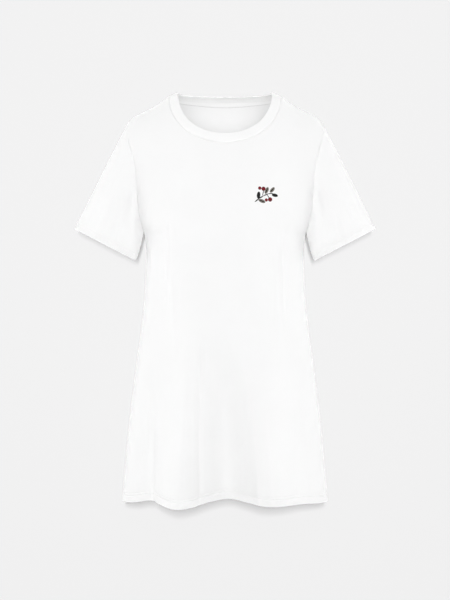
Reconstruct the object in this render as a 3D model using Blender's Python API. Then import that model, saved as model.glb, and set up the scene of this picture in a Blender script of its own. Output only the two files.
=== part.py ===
"""A short-sleeved T-shirt dress in the form it has when worn, with nothing inside it.

The cloth is a set of thin shells: a front and a back panel, two set-in sleeves, a rib collar and the tape
over the back neck seam. Each shell is lofted from sections that follow the cut's named sizes. Lengths are in
millimetres and become metres where the meshes are made. The origin is midway between the high points of the
two shoulders, +Z is up, the front faces -Y and +X is the wearer's left.
"""

import math

import bpy
import numpy as np

MM = 0.001
COLLECTION = "t_shirt_dress"

# Cloth, mm
WALL = 1.4
HEM_WALL = 2.6
RIB_WALL = 2.0
TAPE_WALL = 1.0
TAPE_WIDTH = 10.0
SEAM_GAP = 0.3
HEM_DEPTH = 20.0
CUFF_HEM_DEPTH = 16.0

# Fixed points of the cut, mm
SHOULDER_X = 212.0
SHOULDER_Z = -66.0
UNDERARM_Z = -303.0
HEM_Z = -889.0
NECK_HALF = 122.0
NECK_Z = -6.0
NECK_BOW = 2.1
RIDGE_Y = 9.0

# The collar's top edge, mm: half width and height at the side, drop to the middle of the front and back
EDGE_HALF = 102.0
EDGE_Z = 1.5
EDGE_BOW = 2.15
EDGE_FRONT_DROP = 95.5
EDGE_BACK_DROP = 5.0
EDGE_FRONT_LEAN = 9.0
EDGE_BACK_LEAN = 17.0
EDGE_SIDE_LEAN = 2.0
RIB_ROLL = 1.2

# Divisions of the shells
HALF_COLS = 15
SEAM_ROWS = 4
ARM_ROWS = 11
SKIRT_ROWS = 14
CUFF_STEPS = (0.0, 0.1, 0.22, 0.36, 0.5, 0.64, 0.78)

# Line over the shoulders, seen from the front: distance from the middle, height
RIDGE = {
    "x": (0.0, 60.0, 100.0, 122.0, 139.0, 156.0, 174.0, 191.0, 203.0, 212.0),
    "z": (16.0, 13.0, 4.0, -6.0, -19.0, -30.5, -40.0, -48.0, -55.5, -66.0),
}
# Armhole seam, seen from the front: height, distance from the middle
ARMHOLE = {
    "z": (-303.0, -290.0, -262.0, -219.0, -175.0, -134.0, -104.0, -66.0),
    "x": (176.5, 180.5, 186.5, 190.0, 193.0, 200.5, 208.5, 212.0),
}
# Body below the underarm: height, half width, depth of the front, depth of the back
BODY = {
    "z": (-895.0, -844.0, -800.0, -756.0, -713.0, -669.0, -626.0, -582.0, -538.0, -495.0, -451.0, -408.0,
          -364.0, -330.0, -303.0),
    "half": (223.0, 219.5, 215.5, 211.5, 207.0, 202.0, 196.5, 191.0, 184.5, 179.0, 174.5, 172.0,
             170.5, 172.5, 176.5),
    "front": (128.0, 126.0, 124.0, 121.5, 119.0, 116.5, 114.0, 112.0, 110.0, 108.5, 108.0, 109.0,
              112.0, 115.0, 116.0),
    "back": (127.0, 125.0, 122.5, 120.0, 117.0, 114.0, 110.5, 107.0, 103.0, 99.5, 98.0, 99.5,
             103.0, 106.0, 107.0),
}
# Hem line, seen from the front: distance from the middle, height
FRONT_HEM = {
    "x": (-225.0, -190.0, -160.0, -135.0, -104.0, -70.0, -30.0, 8.0, 50.0, 80.0, 105.0, 150.0, 225.0),
    "z": (-889.0, -884.0, -879.5, -885.0, -890.5, -888.0, -878.0, -874.0, -880.5, -885.0, -886.0, -885.5, -889.0),
}
BACK_HEM = {
    "x": (-225.0, -175.0, -128.0, -80.0, -25.0, 30.0, 72.0, 120.0, 165.0, 225.0),
    "z": (-889.0, -883.0, -888.0, -884.0, -876.0, -883.0, -888.0, -882.0, -878.0, -889.0),
}
# Flutes of the skirt. hem_x and top_x: the fold's middle at the hem and where it starts; half: half width;
# out: how far it stands out at the hem, less than 0 for a trough; start: the height where it starts
FRONT_FLUTES = (
    {"hem_x": -104.0, "top_x": -80.0, "half": 60.0, "out": 36.0, "start": -470.0},
    {"hem_x": 8.0, "top_x": -14.0, "half": 66.0, "out": -34.0, "start": -430.0},
    {"hem_x": 108.0, "top_x": 84.0, "half": 78.0, "out": 26.0, "start": -520.0},
    {"hem_x": -163.0, "top_x": -150.0, "half": 34.0, "out": -15.0, "start": -640.0},
)
BACK_FLUTES = (
    {"hem_x": -128.0, "top_x": -96.0, "half": 62.0, "out": 27.0, "start": -520.0},
    {"hem_x": -25.0, "top_x": -10.0, "half": 64.0, "out": -28.0, "start": -450.0},
    {"hem_x": 72.0, "top_x": 60.0, "half": 58.0, "out": 28.0, "start": -490.0},
    {"hem_x": 158.0, "top_x": 140.0, "half": 40.0, "out": -14.0, "start": -620.0},
)
# The two sides of the body. sign: of y; arm: half depth of the armhole; round: how soon the yoke rounds over
# the shoulder; drop: of the neckline in the middle
FRONT = {"sign": -1.0, "arm": 44.0, "round": 1.15, "drop": 108.0, "depth": "front",
         "hem": FRONT_HEM, "flutes": FRONT_FLUTES}
BACK = {"sign": 1.0, "arm": 46.0, "round": 0.85, "drop": 8.0, "depth": "back",
        "hem": BACK_HEM, "flutes": BACK_FLUTES}

# Opening of the left sleeve: its middle, the way to its upper corner, half width, half depth, the sleeve's way
# there, the length of the sleeve's front, and how much the sleeve fills out on the way
CUFF = {
    "middle": (261.4, 0.0, -331.0),
    "up": (0.888, 0.0, 0.460),
    "half": 75.1,
    "deep": 45.0,
    "along": (0.454, 0.0, -0.891),
    "run": 135.0,
    "fill": 7.0,
}

# Finish of each kind of cloth: colour and roughness
JERSEY = ((0.93, 0.93, 0.92), 0.85)
RIB = ((0.93, 0.93, 0.92), 0.90)
TAPE = ((0.93, 0.93, 0.92), 0.80)


def curve(table, key, value, at):
    """Read a smooth curve through a table's points, which never overshoots them."""
    keys = np.asarray(table[key], float)
    values = np.asarray(table[value], float)
    step = np.diff(keys)
    slope = np.diff(values) / step
    tangent = np.concatenate([slope[:1], np.zeros(len(keys) - 2), slope[-1:]])
    for i in range(1, len(keys) - 1):
        if slope[i - 1] * slope[i] > 0.0:
            tangent[i] = 2.0 * slope[i - 1] * slope[i] / (slope[i - 1] + slope[i])
    at = min(max(at, keys[0]), keys[-1])
    k = int(np.clip(np.searchsorted(keys, at) - 1, 0, len(keys) - 2))
    t = (at - keys[k]) / step[k]
    level = values[k] * (1.0 + 2.0 * t) * (1.0 - t) ** 2 + values[k + 1] * t * t * (3.0 - 2.0 * t)
    lean = step[k] * (tangent[k] * t * (1.0 - t) ** 2 - tangent[k + 1] * t * t * (1.0 - t))
    return float(level + lean)


def ease(t):
    """Return 0 to 1 with level ends."""
    t = min(max(t, 0.0), 1.0)
    return t * t * (3.0 - 2.0 * t)


def unit(vectors):
    """Return vectors at length one."""
    vectors = np.asarray(vectors, float)
    return vectors / np.maximum(np.linalg.norm(vectors, axis=-1, keepdims=True), 1e-12)


# The body's surface. `share` is the distance from the middle as a share of the width at that height.


def yoke_point(side, share, s):
    """Return a point between the shoulder line, s = 0, and the underarm's height, s = 1."""
    down = math.cos(s * math.pi / 2.0)
    half = curve(ARMHOLE, "z", "x", UNDERARM_Z + (SHOULDER_Z - UNDERARM_Z) * down)
    top = curve(RIDGE, "x", "z", SHOULDER_X * abs(share))
    depth = BODY[side["depth"]][-1] * math.sin(s * math.pi / 2.0) ** side["round"]
    arm = side["arm"] * max(math.sin(math.pi * s), 0.0) ** (1.0 - 0.4 * s)
    full = max(1.0 - abs(share) ** (2.0 + 0.2 * s), 0.0) ** (1.0 - 0.5 * s ** 5 * (6.0 - 5.0 * s))
    y = side["sign"] * (arm + (depth - arm) * full)
    y += RIDGE_Y * (1.0 - ease(s * 1.4)) * (1.0 - 0.6 * share * share)
    return np.array((half * share, y, UNDERARM_Z + (top - UNDERARM_Z) * down))


def flute_depth(side, x, z):
    """Return how far the flutes push the cloth out at x and z."""
    total = 0.0
    for flute in side["flutes"]:
        run = (flute["start"] - z) / (flute["start"] - HEM_Z)
        middle = flute["top_x"] + (flute["hem_x"] - flute["top_x"]) * run
        off = abs(x - middle) / (flute["half"] * (0.7 + 0.3 * run))
        if run > 0.0 and off < 1.0:
            total += flute["out"] * ease(run) * 0.5 * (1.0 + math.cos(math.pi * off))
    return total


def skirt_point(side, share, t):
    """Return a point between the underarm's height, t = 0, and the hem, t = 1."""
    low = curve(side["hem"], "x", "z", BODY["half"][0] * share)
    z = UNDERARM_Z + (low - UNDERARM_Z) * t
    x = curve(BODY, "z", "half", z) * share
    full = math.sqrt(max(1.0 - abs(share) ** 2.2, 0.0))
    out = flute_depth(side, x, z) * (1.0 - share ** 8)
    return np.array((x, side["sign"] * (curve(BODY, "z", side["depth"], z) * full + out), z))


def neckline(side, share):
    """Return the s at which the neckline crosses the surface."""
    if abs(share) >= NECK_HALF / SHOULDER_X - 1e-9:
        return 0.0
    low, high = 0.0, 0.95
    for _ in range(40):
        middle = 0.5 * (low + high)
        point = yoke_point(side, share, middle)
        across = min(abs(point[0]) / NECK_HALF, 1.0)
        line = NECK_Z - side["drop"] * (1.0 - across ** NECK_BOW) ** (1.0 / NECK_BOW)
        if point[2] > line:
            low = middle
        else:
            high = middle
    return 0.5 * (low + high)


# The grids of outer points.


def armhole_steps():
    """Return the s of each row down the armhole, evenly spaced along its seam."""
    fine = np.linspace(0.0, 1.0, 400)
    line = np.array([yoke_point(FRONT, 1.0, s) for s in fine])
    run = np.concatenate([[0.0], np.cumsum(np.linalg.norm(np.diff(line, axis=0), axis=1))])
    return np.interp(np.linspace(0.0, run[-1], ARM_ROWS + 1), run, fine)


def hem_steps(rows, length, depth):
    """Return even shares of a length down to its hem, then the step of the turned hem and its edge."""
    turn = 1.0 - depth / length
    return [*np.linspace(0.0, turn, rows + 1)[1:], turn + 1.0 / length, 1.0]


def body_grid(side):
    """Return a panel's outer points in rows round the neckline, down to the hem."""
    neck = NECK_HALF / SHOULDER_X
    angles = np.linspace(-math.pi / 2.0, math.pi / 2.0, 2 * HALF_COLS + 1)
    starts = [neckline(side, neck * math.sin(angle)) for angle in angles]
    deepest = starts[HALF_COLS]
    seam = [(neck + (1.0 - neck) * k / SEAM_ROWS, 0.0) for k in range(SEAM_ROWS)]
    edge = seam + [(1.0, s) for s in armhole_steps()]
    grid = []
    for k, (reach, s_edge) in enumerate(edge):
        s_middle = deepest + (1.0 - deepest) * k / (len(edge) - 1)
        power = 1.0 + 0.9 * min(k / 6.0, 1.0)
        like_neck = max(1.0 - k / 7.0, 0.0) ** 2
        row = []
        for angle, start in zip(angles, starts):
            bow = max(math.cos(angle), 0.0) ** power * (1.0 - like_neck) + start / deepest * like_neck
            row.append(yoke_point(side, reach * math.sin(angle), s_edge + (s_middle - s_edge) * bow))
        grid.append(row)
    for t in hem_steps(SKIRT_ROWS, UNDERARM_Z - HEM_Z, HEM_DEPTH):
        grid.append([skirt_point(side, math.sin(angle), t) for angle in angles])
    return np.array(grid) + np.array((0.0, 0.5 * SEAM_GAP * side["sign"], 0.0))


def sleeve_grid(hand):
    """Return a sleeve's outer points in rings from the armhole to the cuff, and the way each line starts."""
    steps = armhole_steps()
    front = [yoke_point(FRONT, 1.0, s) for s in steps]
    back = [yoke_point(BACK, 1.0, s) for s in steps]
    arm = np.array(front + back[-2:0:-1])
    angles = np.linspace(0.0, 2.0 * math.pi, len(arm), endpoint=False)[:, None]
    cuff = np.array(CUFF["middle"]) + np.array(CUFF["up"]) * CUFF["half"] * np.cos(angles)
    cuff = cuff - np.array((0.0, CUFF["deep"], 0.0)) * np.sin(angles)
    reach = cuff - arm
    length = np.linalg.norm(reach, axis=1, keepdims=True)
    first = unit(unit(reach) + np.array((0.25, 0.0, 0.0)) * np.abs(np.sin(angles)))
    grid = []
    for w in [*CUFF_STEPS, *hem_steps(1, CUFF["run"], CUFF_HEM_DEPTH)]:
        ring = (1.0 + 2.0 * w) * (1.0 - w) ** 2 * arm + w * w * (3.0 - 2.0 * w) * cuff
        ring = ring + w * (1.0 - w) ** 2 * length * first
        ring = ring - w * w * (1.0 - w) * length * np.array(CUFF["along"])
        fill = CUFF["fill"] * math.sin(math.pi * w) ** 1.5
        grid.append(ring - np.array((0.0, fill, 0.0)) * np.sin(angles))
    mirror = np.array((hand, 1.0, 1.0))
    return np.array(grid) * mirror, first * mirror


def collar_edge(side, point):
    """Return the point of the collar's top edge above a point of the neckline."""
    across = min(abs(point[0]) / NECK_HALF, 1.0)
    rise = (1.0 - across ** EDGE_BOW) ** (1.0 / EDGE_BOW)
    x = math.copysign(EDGE_HALF * across, point[0])
    if side is FRONT:
        return np.array((x, point[1] + EDGE_FRONT_LEAN * rise - EDGE_SIDE_LEAN * (1.0 - rise),
                         EDGE_Z - EDGE_FRONT_DROP * rise))
    return np.array((x, point[1] - EDGE_BACK_LEAN * rise - EDGE_SIDE_LEAN * (1.0 - rise),
                     EDGE_Z - EDGE_BACK_DROP * rise))


def collar_grid(front, back, below):
    """Return the collar's outer points in rings from the neckline seam to its top edge."""
    lower = []
    upper = []
    for side, row in ((FRONT, front[0]), (BACK, back[0, -2:0:-1])):
        for point in row:
            seam = point.copy()
            if abs(seam[0]) > NECK_HALF - 1e-6:
                seam[1] -= 0.5 * SEAM_GAP * side["sign"]
            lower.append(seam)
            upper.append(collar_edge(side, seam))
    lower = np.array(lower)
    upper = np.array(upper)
    lower = lower + unit(upper - lower) * (SEAM_GAP + 0.05)
    roll = -below * RIB_ROLL
    return np.array([lower, 0.5 * (lower + upper) + roll, upper])


# The walls' inner directions, and the seams where two walls meet.


def inward(grid, middle, closed):
    """Return the unit direction into the cloth at each point of a grid, towards its middle."""
    down = np.gradient(grid, axis=0)
    across = np.gradient(grid, axis=1)
    if closed:
        across = np.roll(grid, -1, axis=1) - np.roll(grid, 1, axis=1)
    normal = unit(np.cross(down, across))
    return normal if np.sum(normal * (middle - grid)) > 0.0 else -normal


def flatten_seams(panel_in):
    """Keep a panel's walls flat against the other panel at the shoulder and side seams."""
    panel_in[:SEAM_ROWS + 1, (0, -1), 1] = 0.0
    panel_in[SEAM_ROWS + ARM_ROWS:, (0, -1), 1] = 0.0
    panel_in[:] = unit(panel_in)


def shared(own, other, way):
    """Return one wall's inner directions, turned to those of its neighbour where the two faces bend apart.

    `way` points from the own wall to the neighbour's.
    """
    turned = own.copy()
    for k in range(len(own)):
        if np.dot(own[k] - other[k], way[k]) > 0.0:
            weight = ease((np.dot(own[k], other[k]) - 0.1) / 0.5)
            turned[k] = unit(own[k] * (1.0 - weight) + unit(own[k] + other[k]) * weight)
    return turned


def set_in_sleeve(hand, front_in, back_in):
    """Return a sleeve's outer points and inner directions, fitted to both panels at the armhole."""
    top = SEAM_ROWS
    low = SEAM_ROWS + ARM_ROWS
    col = -1 if hand > 0.0 else 0
    grid, first = sleeve_grid(hand)
    sleeve_in = inward(grid, grid.mean(axis=1, keepdims=True), True)
    body_in = np.concatenate([front_in[top:low + 1, col], back_in[low - 1:top:-1, col]])
    body_turned = shared(body_in, sleeve_in[0], first)
    sleeve_in[0] = shared(sleeve_in[0], body_in, -first)
    front_in[top:low + 1, col] = body_turned[:ARM_ROWS + 1]
    back_in[top + 1:low, col] = body_turned[:ARM_ROWS:-1]
    back_in[(top, low), col] = body_turned[(0, ARM_ROWS), :]
    grid[0] += unit(first - 0.8 * body_in) * (SEAM_GAP + 0.05)
    return grid, sleeve_in


def set_on_collar(front, back, front_in, back_in):
    """Return the collar's outer points and inner directions, fitted to both panels at the neckline."""
    last = front.shape[1] - 1
    below = np.concatenate([front_in[0], back_in[0, -2:0:-1]])
    grid = collar_grid(front, back, below)
    collar_in = inward(grid, grid.mean(axis=1, keepdims=True), True)
    both = unit(collar_in[0] + below)
    both[(0, last), 1] = 0.0
    both = unit(both)
    collar_in[0] = both
    front_in[0] = both[:last + 1]
    back_in[0, -2:0:-1] = both[last + 1:]
    back_in[0, (0, -1)] = both[(0, last), :]
    return grid, collar_in


# Meshes.


def walls(grid, thin, hem):
    """Return the wall at each point of a grid, thicker in the turned hem."""
    wall = np.full((*grid.shape[:2], 1), thin)
    wall[-2:] = hem
    return wall


def loft_faces(vertices, rows, cols, closed):
    """Return the triangles of a shell whose inner points follow its outer points in `vertices`.

    A four-sided face is cut from its corner nearer the middle of the dress, alike on both walls of a seam.
    """
    inner = rows * cols
    faces = []

    def nearer(a, b):
        return abs(vertices[a][0]) <= abs(vertices[b][0])

    def face(a, b, c, d):
        cut = [(a, b, c), (a, c, d)] if nearer(a, b) else [(a, b, d), (b, c, d)]
        faces.extend(cut)
        faces.extend([(r + inner, q + inner, p + inner) for p, q, r in cut])

    def rim(a, b, turned):
        if nearer(a, b):
            cut = [(a, b + inner, b), (a, a + inner, b + inner)]
        else:
            cut = [(a, a + inner, b), (b, a + inner, b + inner)]
        faces.extend([triangle[::-1] for triangle in cut] if turned else cut)

    last = cols if closed else cols - 1
    for i in range(rows - 1):
        for j in range(last):
            near, far = i * cols + j, i * cols + (j + 1) % cols
            face(near, far, far + cols, near + cols)
    for j in range(last):
        rim(j, (j + 1) % cols, False)
        rim((rows - 1) * cols + j, (rows - 1) * cols + (j + 1) % cols, True)
    for i in range(0 if closed else rows - 1):
        rim(i * cols, (i + 1) * cols, True)
        rim(i * cols + cols - 1, (i + 2) * cols - 1, False)
    return faces


def add_shell(name, outer, inner, closed, finish):
    """Add a thin shell lofted from its outer and inner points, with its own material."""
    rows, cols = outer.shape[:2]
    vertices = np.concatenate([outer.reshape(-1, 3), inner.reshape(-1, 3)]) * MM
    mesh = bpy.data.meshes.new(name)
    mesh.from_pydata(vertices.tolist(), [], loft_faces(vertices, rows, cols, closed))
    mesh.calc_loop_triangles()
    corners = vertices[[triangle.vertices[:] for triangle in mesh.loop_triangles]]
    volume = np.sum(corners[:, 0] * np.cross(corners[:, 1], corners[:, 2]))
    if volume < 0.0:
        mesh.flip_normals()
    mesh.shade_smooth()
    mesh.set_sharp_from_angle(angle=math.radians(60.0))
    color, roughness = finish
    material = bpy.data.materials.new(name)
    material.use_nodes = True
    shader = material.node_tree.nodes["Principled BSDF"]
    shader.inputs["Base Color"].default_value = (*color, 1.0)
    shader.inputs["Roughness"].default_value = roughness
    shader.inputs["Metallic"].default_value = 0.0
    mesh.materials.append(material)
    bpy.data.collections[COLLECTION].objects.link(bpy.data.objects.new(name, mesh))


def add_tape(back_inner, back_in):
    """Add the tape under the back neck seam, from the back panel's own inner points moved in."""
    gap = SEAM_GAP + 0.2
    top, below = back_inner[0, 1:-1], back_inner[1, 1:-1]
    top_in, below_in = back_in[0, 1:-1], back_in[1, 1:-1]
    drop = np.linalg.norm(below - top, axis=1, keepdims=True)
    outer = []
    inner = []
    for reach in (2.0 * SEAM_GAP, 2.0 * SEAM_GAP + TAPE_WIDTH):
        row = top + (below - top) * reach / drop
        way = unit(top_in + (below_in - top_in) * reach / drop)
        outer.append(row + way * gap)
        inner.append(row + way * (gap + TAPE_WALL))
    add_shell("neck_tape", np.array(outer), np.array(inner), False, TAPE)


def main():
    """Build every piece of the dress."""
    for item in list(bpy.data.objects):
        bpy.data.objects.remove(item)
    collection = bpy.data.collections.new(COLLECTION)
    bpy.context.scene.collection.children.link(collection)

    front = body_grid(FRONT)
    back = body_grid(BACK)
    front_in = inward(front, np.zeros(3) + (0.0, 0.0, UNDERARM_Z), False)
    back_in = inward(back, np.zeros(3) + (0.0, 0.0, UNDERARM_Z), False)
    flatten_seams(front_in)
    flatten_seams(back_in)
    right_sleeve, right_in = set_in_sleeve(-1.0, front_in, back_in)
    left_sleeve, left_in = set_in_sleeve(1.0, front_in, back_in)
    flatten_seams(front_in)
    flatten_seams(back_in)
    collar, collar_in = set_on_collar(front, back, front_in, back_in)

    back_inner = back + back_in * walls(back, WALL, HEM_WALL)
    add_shell("front", front, front + front_in * walls(front, WALL, HEM_WALL), False, JERSEY)
    add_shell("back", back, back_inner, False, JERSEY)
    add_shell("sleeve_right", right_sleeve, right_sleeve + right_in * walls(right_sleeve, WALL, HEM_WALL),
              True, JERSEY)
    add_shell("sleeve_left", left_sleeve, left_sleeve + left_in * walls(left_sleeve, WALL, HEM_WALL),
              True, JERSEY)
    add_shell("collar", collar, collar + collar_in * RIB_WALL, True, RIB)
    add_tape(back_inner, back_in)


main()
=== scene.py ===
"""Looks of a short-sleeved T-shirt dress of white jersey, in the form it has when worn, with nothing in it.

Lengths are in millimetres until the meshes are made, in the frame of the solids: the origin is midway between
the high points of the two shoulders, +Z is up, the front faces -Y and +X is the wearer's left.
"""

from __future__ import annotations

import logging
import math
from dataclasses import dataclass
from enum import Enum

import bpy
import numpy as np
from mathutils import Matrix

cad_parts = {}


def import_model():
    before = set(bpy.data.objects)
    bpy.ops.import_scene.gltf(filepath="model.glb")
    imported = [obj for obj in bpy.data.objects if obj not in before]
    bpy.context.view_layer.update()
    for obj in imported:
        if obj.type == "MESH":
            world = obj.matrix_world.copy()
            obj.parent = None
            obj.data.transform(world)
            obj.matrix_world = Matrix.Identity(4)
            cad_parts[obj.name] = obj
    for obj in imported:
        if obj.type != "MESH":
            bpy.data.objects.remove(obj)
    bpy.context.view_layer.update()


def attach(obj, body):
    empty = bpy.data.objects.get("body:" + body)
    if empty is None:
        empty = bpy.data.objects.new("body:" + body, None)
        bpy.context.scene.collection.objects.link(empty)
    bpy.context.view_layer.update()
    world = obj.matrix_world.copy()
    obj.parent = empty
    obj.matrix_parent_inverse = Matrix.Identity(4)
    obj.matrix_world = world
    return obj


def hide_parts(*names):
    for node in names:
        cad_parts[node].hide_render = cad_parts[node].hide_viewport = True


LOG = logging.getLogger("t_shirt_dress")
MM = 0.001
# Gaps in millimetres: what a joined edge stands off beyond the seam gap, and thread off the cloth.
JOIN_GAP = 0.05
THREAD_LIFT = 0.05
# Where the print is, and how far below the neckline the panels are sewn down.
PRINT_PLACE = (84.0, -95.0, -229.0)
NECK_ROW = 2.4

Array = np.ndarray
Socket = bpy.types.NodeSocket
Value = Socket | float
Color = tuple[float, float, float, float]


class Side(Enum):
    """A side of the body, with the sign of its y."""

    FRONT = -1.0
    BACK = 1.0


class Hand(Enum):
    """The wearer's hand that a sleeve is on, with the sign of its x."""

    RIGHT = -1.0
    LEFT = 1.0


class Ink(Enum):
    """The inks of the small print."""

    GREY = "Grey"
    BLACK = "Black"
    RED = "Red"


def ease(t: Array) -> Array:
    """Return 0 to 1 with level ends."""
    t = np.clip(t, 0.0, 1.0)
    return t * t * (3.0 - 2.0 * t)


def unit(vectors: Array) -> Array:
    """Return vectors at length one."""
    return vectors / np.maximum(np.linalg.norm(vectors, axis=-1, keepdims=True), 1e-12)


def run_along(points: Array, axis: int) -> Array:
    """Return how far each point of a grid is along its row or column.

    Args:
        points: Grid of points.
        axis: 0 to measure down the columns, 1 to measure along the rows.

    Returns:
        The distance from the first point, for each point.
    """
    step = np.linalg.norm(np.diff(points, axis=axis), axis=-1)
    start = np.zeros_like(np.take(step, [0], axis=axis))
    return np.concatenate([start, np.cumsum(step, axis=axis)], axis=axis)


def inward(points: Array, middle: Array, closed: bool) -> Array:
    """Return the unit direction into the cloth at each point of a grid.

    Args:
        points: Grid of points on the outer face.
        middle: A point, or one for each row, that the cloth goes round.
        closed: Whether the rows are rings.

    Returns:
        A unit vector for each point.
    """
    down = np.gradient(points, axis=0)
    if closed:
        across = np.roll(points, -1, axis=1) - np.roll(points, 1, axis=1)
    else:
        across = np.gradient(points, axis=1)
    normal = unit(np.cross(down, across))
    return normal if np.sum(normal * (middle - points)) > 0.0 else -normal


def groove(distance: Array, depth: float | Array, width: float) -> Array:
    """Return the depth of a rounded groove at a distance from its middle."""
    return depth * np.exp(-((distance / width) ** 2))


def sag(heights: Array) -> Array:
    """Return the share of its full depth that a neck seam has at each height, most where it hangs lowest."""
    low = (heights.max() - heights) / max(float(np.ptp(heights)), 1.0)
    return 0.45 + 0.55 * low**2


def fold_over(distance: Array, thick: float) -> Array:
    """Return how far the outer face bends in, close to an edge where the cloth is folded over.

    Args:
        distance: Distance of each point from the edge.
        thick: Thickness of the folded cloth.

    Returns:
        The bend at each point, which is none further in than the fold's rounding.
    """
    half = 0.5 * thick
    blunt = 0.12 * half
    near = np.clip(half - distance, 0.0, half)
    return half - np.maximum(np.sqrt(half * half - near * near), blunt)


@dataclass(frozen=True)
class Line:
    """A smooth line through given points, which never overshoots them."""

    keys: tuple[float, ...]
    values: tuple[float, ...]

    def at(self, where: Array) -> Array:
        """Read the line.

        Args:
            where: Keys at which to read it.

        Returns:
            The value at each key.
        """
        keys = np.asarray(self.keys)
        values = np.asarray(self.values)
        step = np.diff(keys)
        slope = np.diff(values) / step
        tangent = np.concatenate([slope[:1], np.zeros(len(keys) - 2), slope[-1:]])
        for i in range(1, len(keys) - 1):
            if slope[i - 1] * slope[i] > 0.0:
                tangent[i] = 2.0 * slope[i - 1] * slope[i] / (slope[i - 1] + slope[i])
        where = np.clip(where, keys[0], keys[-1])
        k = np.clip(np.searchsorted(keys, where) - 1, 0, len(keys) - 2)
        t = (where - keys[k]) / step[k]
        level = values[k] * (1.0 + 2.0 * t) * (1.0 - t) ** 2 + values[k + 1] * t * t * (3.0 - 2.0 * t)
        return level + step[k] * (tangent[k] * t * (1.0 - t) ** 2 - tangent[k + 1] * t * t * (1.0 - t))


@dataclass(frozen=True)
class Flute:
    """A fold of the skirt that grows from its start down to the hem; out is below 0 for a trough."""

    hem_x: float
    top_x: float
    half: float
    out: float
    start: float


@dataclass(frozen=True)
class Crease:
    """A soft crease at a given place.

    `path` holds its points as (along, across), from its upper end to its lower one: on the body along is the
    height and across the distance from the middle, on a sleeve along is the share of the way to the cuff and
    across the angle round it. `fade` is the share of its length over which the upper and the lower end die
    away, and 0 leaves an end as it is.
    """

    path: tuple[tuple[float, float], ...]
    half: float
    out: float
    fade: tuple[float, float] = (0.35, 0.35)

    def push(self, along: Array, across: Array) -> Array:
        """Return how far the crease stands out.

        Args:
            along: Place along the cloth, for each point.
            across: Place across the cloth, for each point.

        Returns:
            Millimetres outwards for each point.
        """
        ordered = sorted(self.path)
        low, high = ordered[0][0], ordered[-1][0]
        line = Line(tuple(p[0] for p in ordered), tuple(p[1] for p in ordered))
        off = (across - line.at(along)) / self.half
        bump = 0.5 * (1.0 + np.cos(np.pi * np.clip(off, -1.0, 1.0)))
        run = np.clip((along - low) / (high - low), 0.0, 1.0)
        first, last = (self.fade if self.path[0][0] == low else self.fade[::-1])
        reach = np.ones_like(run)
        if first > 0.0:
            reach = reach * ease(run / first)
        if last > 0.0:
            reach = reach * ease((1.0 - run) / last)
        return self.out * bump * reach


@dataclass(frozen=True)
class SideCut:
    """What the cuts of the front and the back don't share.

    `arm` is how deep the armhole reaches, `rounding` how soon the chest fills out below the shoulder, `drop`
    how deep the neckline is, `depth` the depth from the middle at each height and `hem` the height of the hem
    at each place across.
    """

    side: Side
    arm: float
    rounding: float
    drop: float
    depth: Line
    hem: Line
    flutes: tuple[Flute, ...]


# Heights at which the body's width and depth are given, from below the hem up to the underarm.
BODY_Z = (-895.0, -844.0, -800.0, -756.0, -713.0, -669.0, -626.0, -582.0, -538.0, -495.0, -451.0, -408.0,
          -364.0, -330.0, -303.0)

FRONT_CUT = SideCut(
    side=Side.FRONT,
    arm=44.0,
    rounding=1.15,
    drop=108.0,
    depth=Line(BODY_Z, (128.0, 126.0, 124.0, 121.5, 119.0, 116.5, 114.0, 112.0, 110.0, 108.5, 108.0, 109.0,
                        112.0, 115.0, 116.0)),
    hem=Line((-225.0, -190.0, -160.0, -135.0, -104.0, -70.0, -30.0, 8.0, 50.0, 80.0, 105.0, 150.0, 225.0),
             (-889.0, -884.0, -879.5, -885.0, -890.5, -888.0, -878.0, -874.0, -880.5, -885.0, -886.0, -885.5,
              -889.0)),
    flutes=(
        Flute(hem_x=-104.0, top_x=-80.0, half=60.0, out=36.0, start=-470.0),
        Flute(hem_x=8.0, top_x=-14.0, half=66.0, out=-34.0, start=-430.0),
        Flute(hem_x=108.0, top_x=84.0, half=78.0, out=26.0, start=-520.0),
        Flute(hem_x=-163.0, top_x=-150.0, half=34.0, out=-15.0, start=-640.0),
    ),
)
BACK_CUT = SideCut(
    side=Side.BACK,
    arm=46.0,
    rounding=0.85,
    drop=8.0,
    depth=Line(BODY_Z, (127.0, 125.0, 122.5, 120.0, 117.0, 114.0, 110.5, 107.0, 103.0, 99.5, 98.0, 99.5,
                        103.0, 106.0, 107.0)),
    hem=Line((-225.0, -175.0, -128.0, -80.0, -25.0, 30.0, 72.0, 120.0, 165.0, 225.0),
             (-889.0, -883.0, -888.0, -884.0, -876.0, -883.0, -888.0, -882.0, -878.0, -889.0)),
    flutes=(
        Flute(hem_x=-128.0, top_x=-96.0, half=62.0, out=27.0, start=-520.0),
        Flute(hem_x=-25.0, top_x=-10.0, half=64.0, out=-28.0, start=-450.0),
        Flute(hem_x=72.0, top_x=60.0, half=58.0, out=28.0, start=-490.0),
        Flute(hem_x=158.0, top_x=140.0, half=40.0, out=-14.0, start=-620.0),
    ),
)

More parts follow.
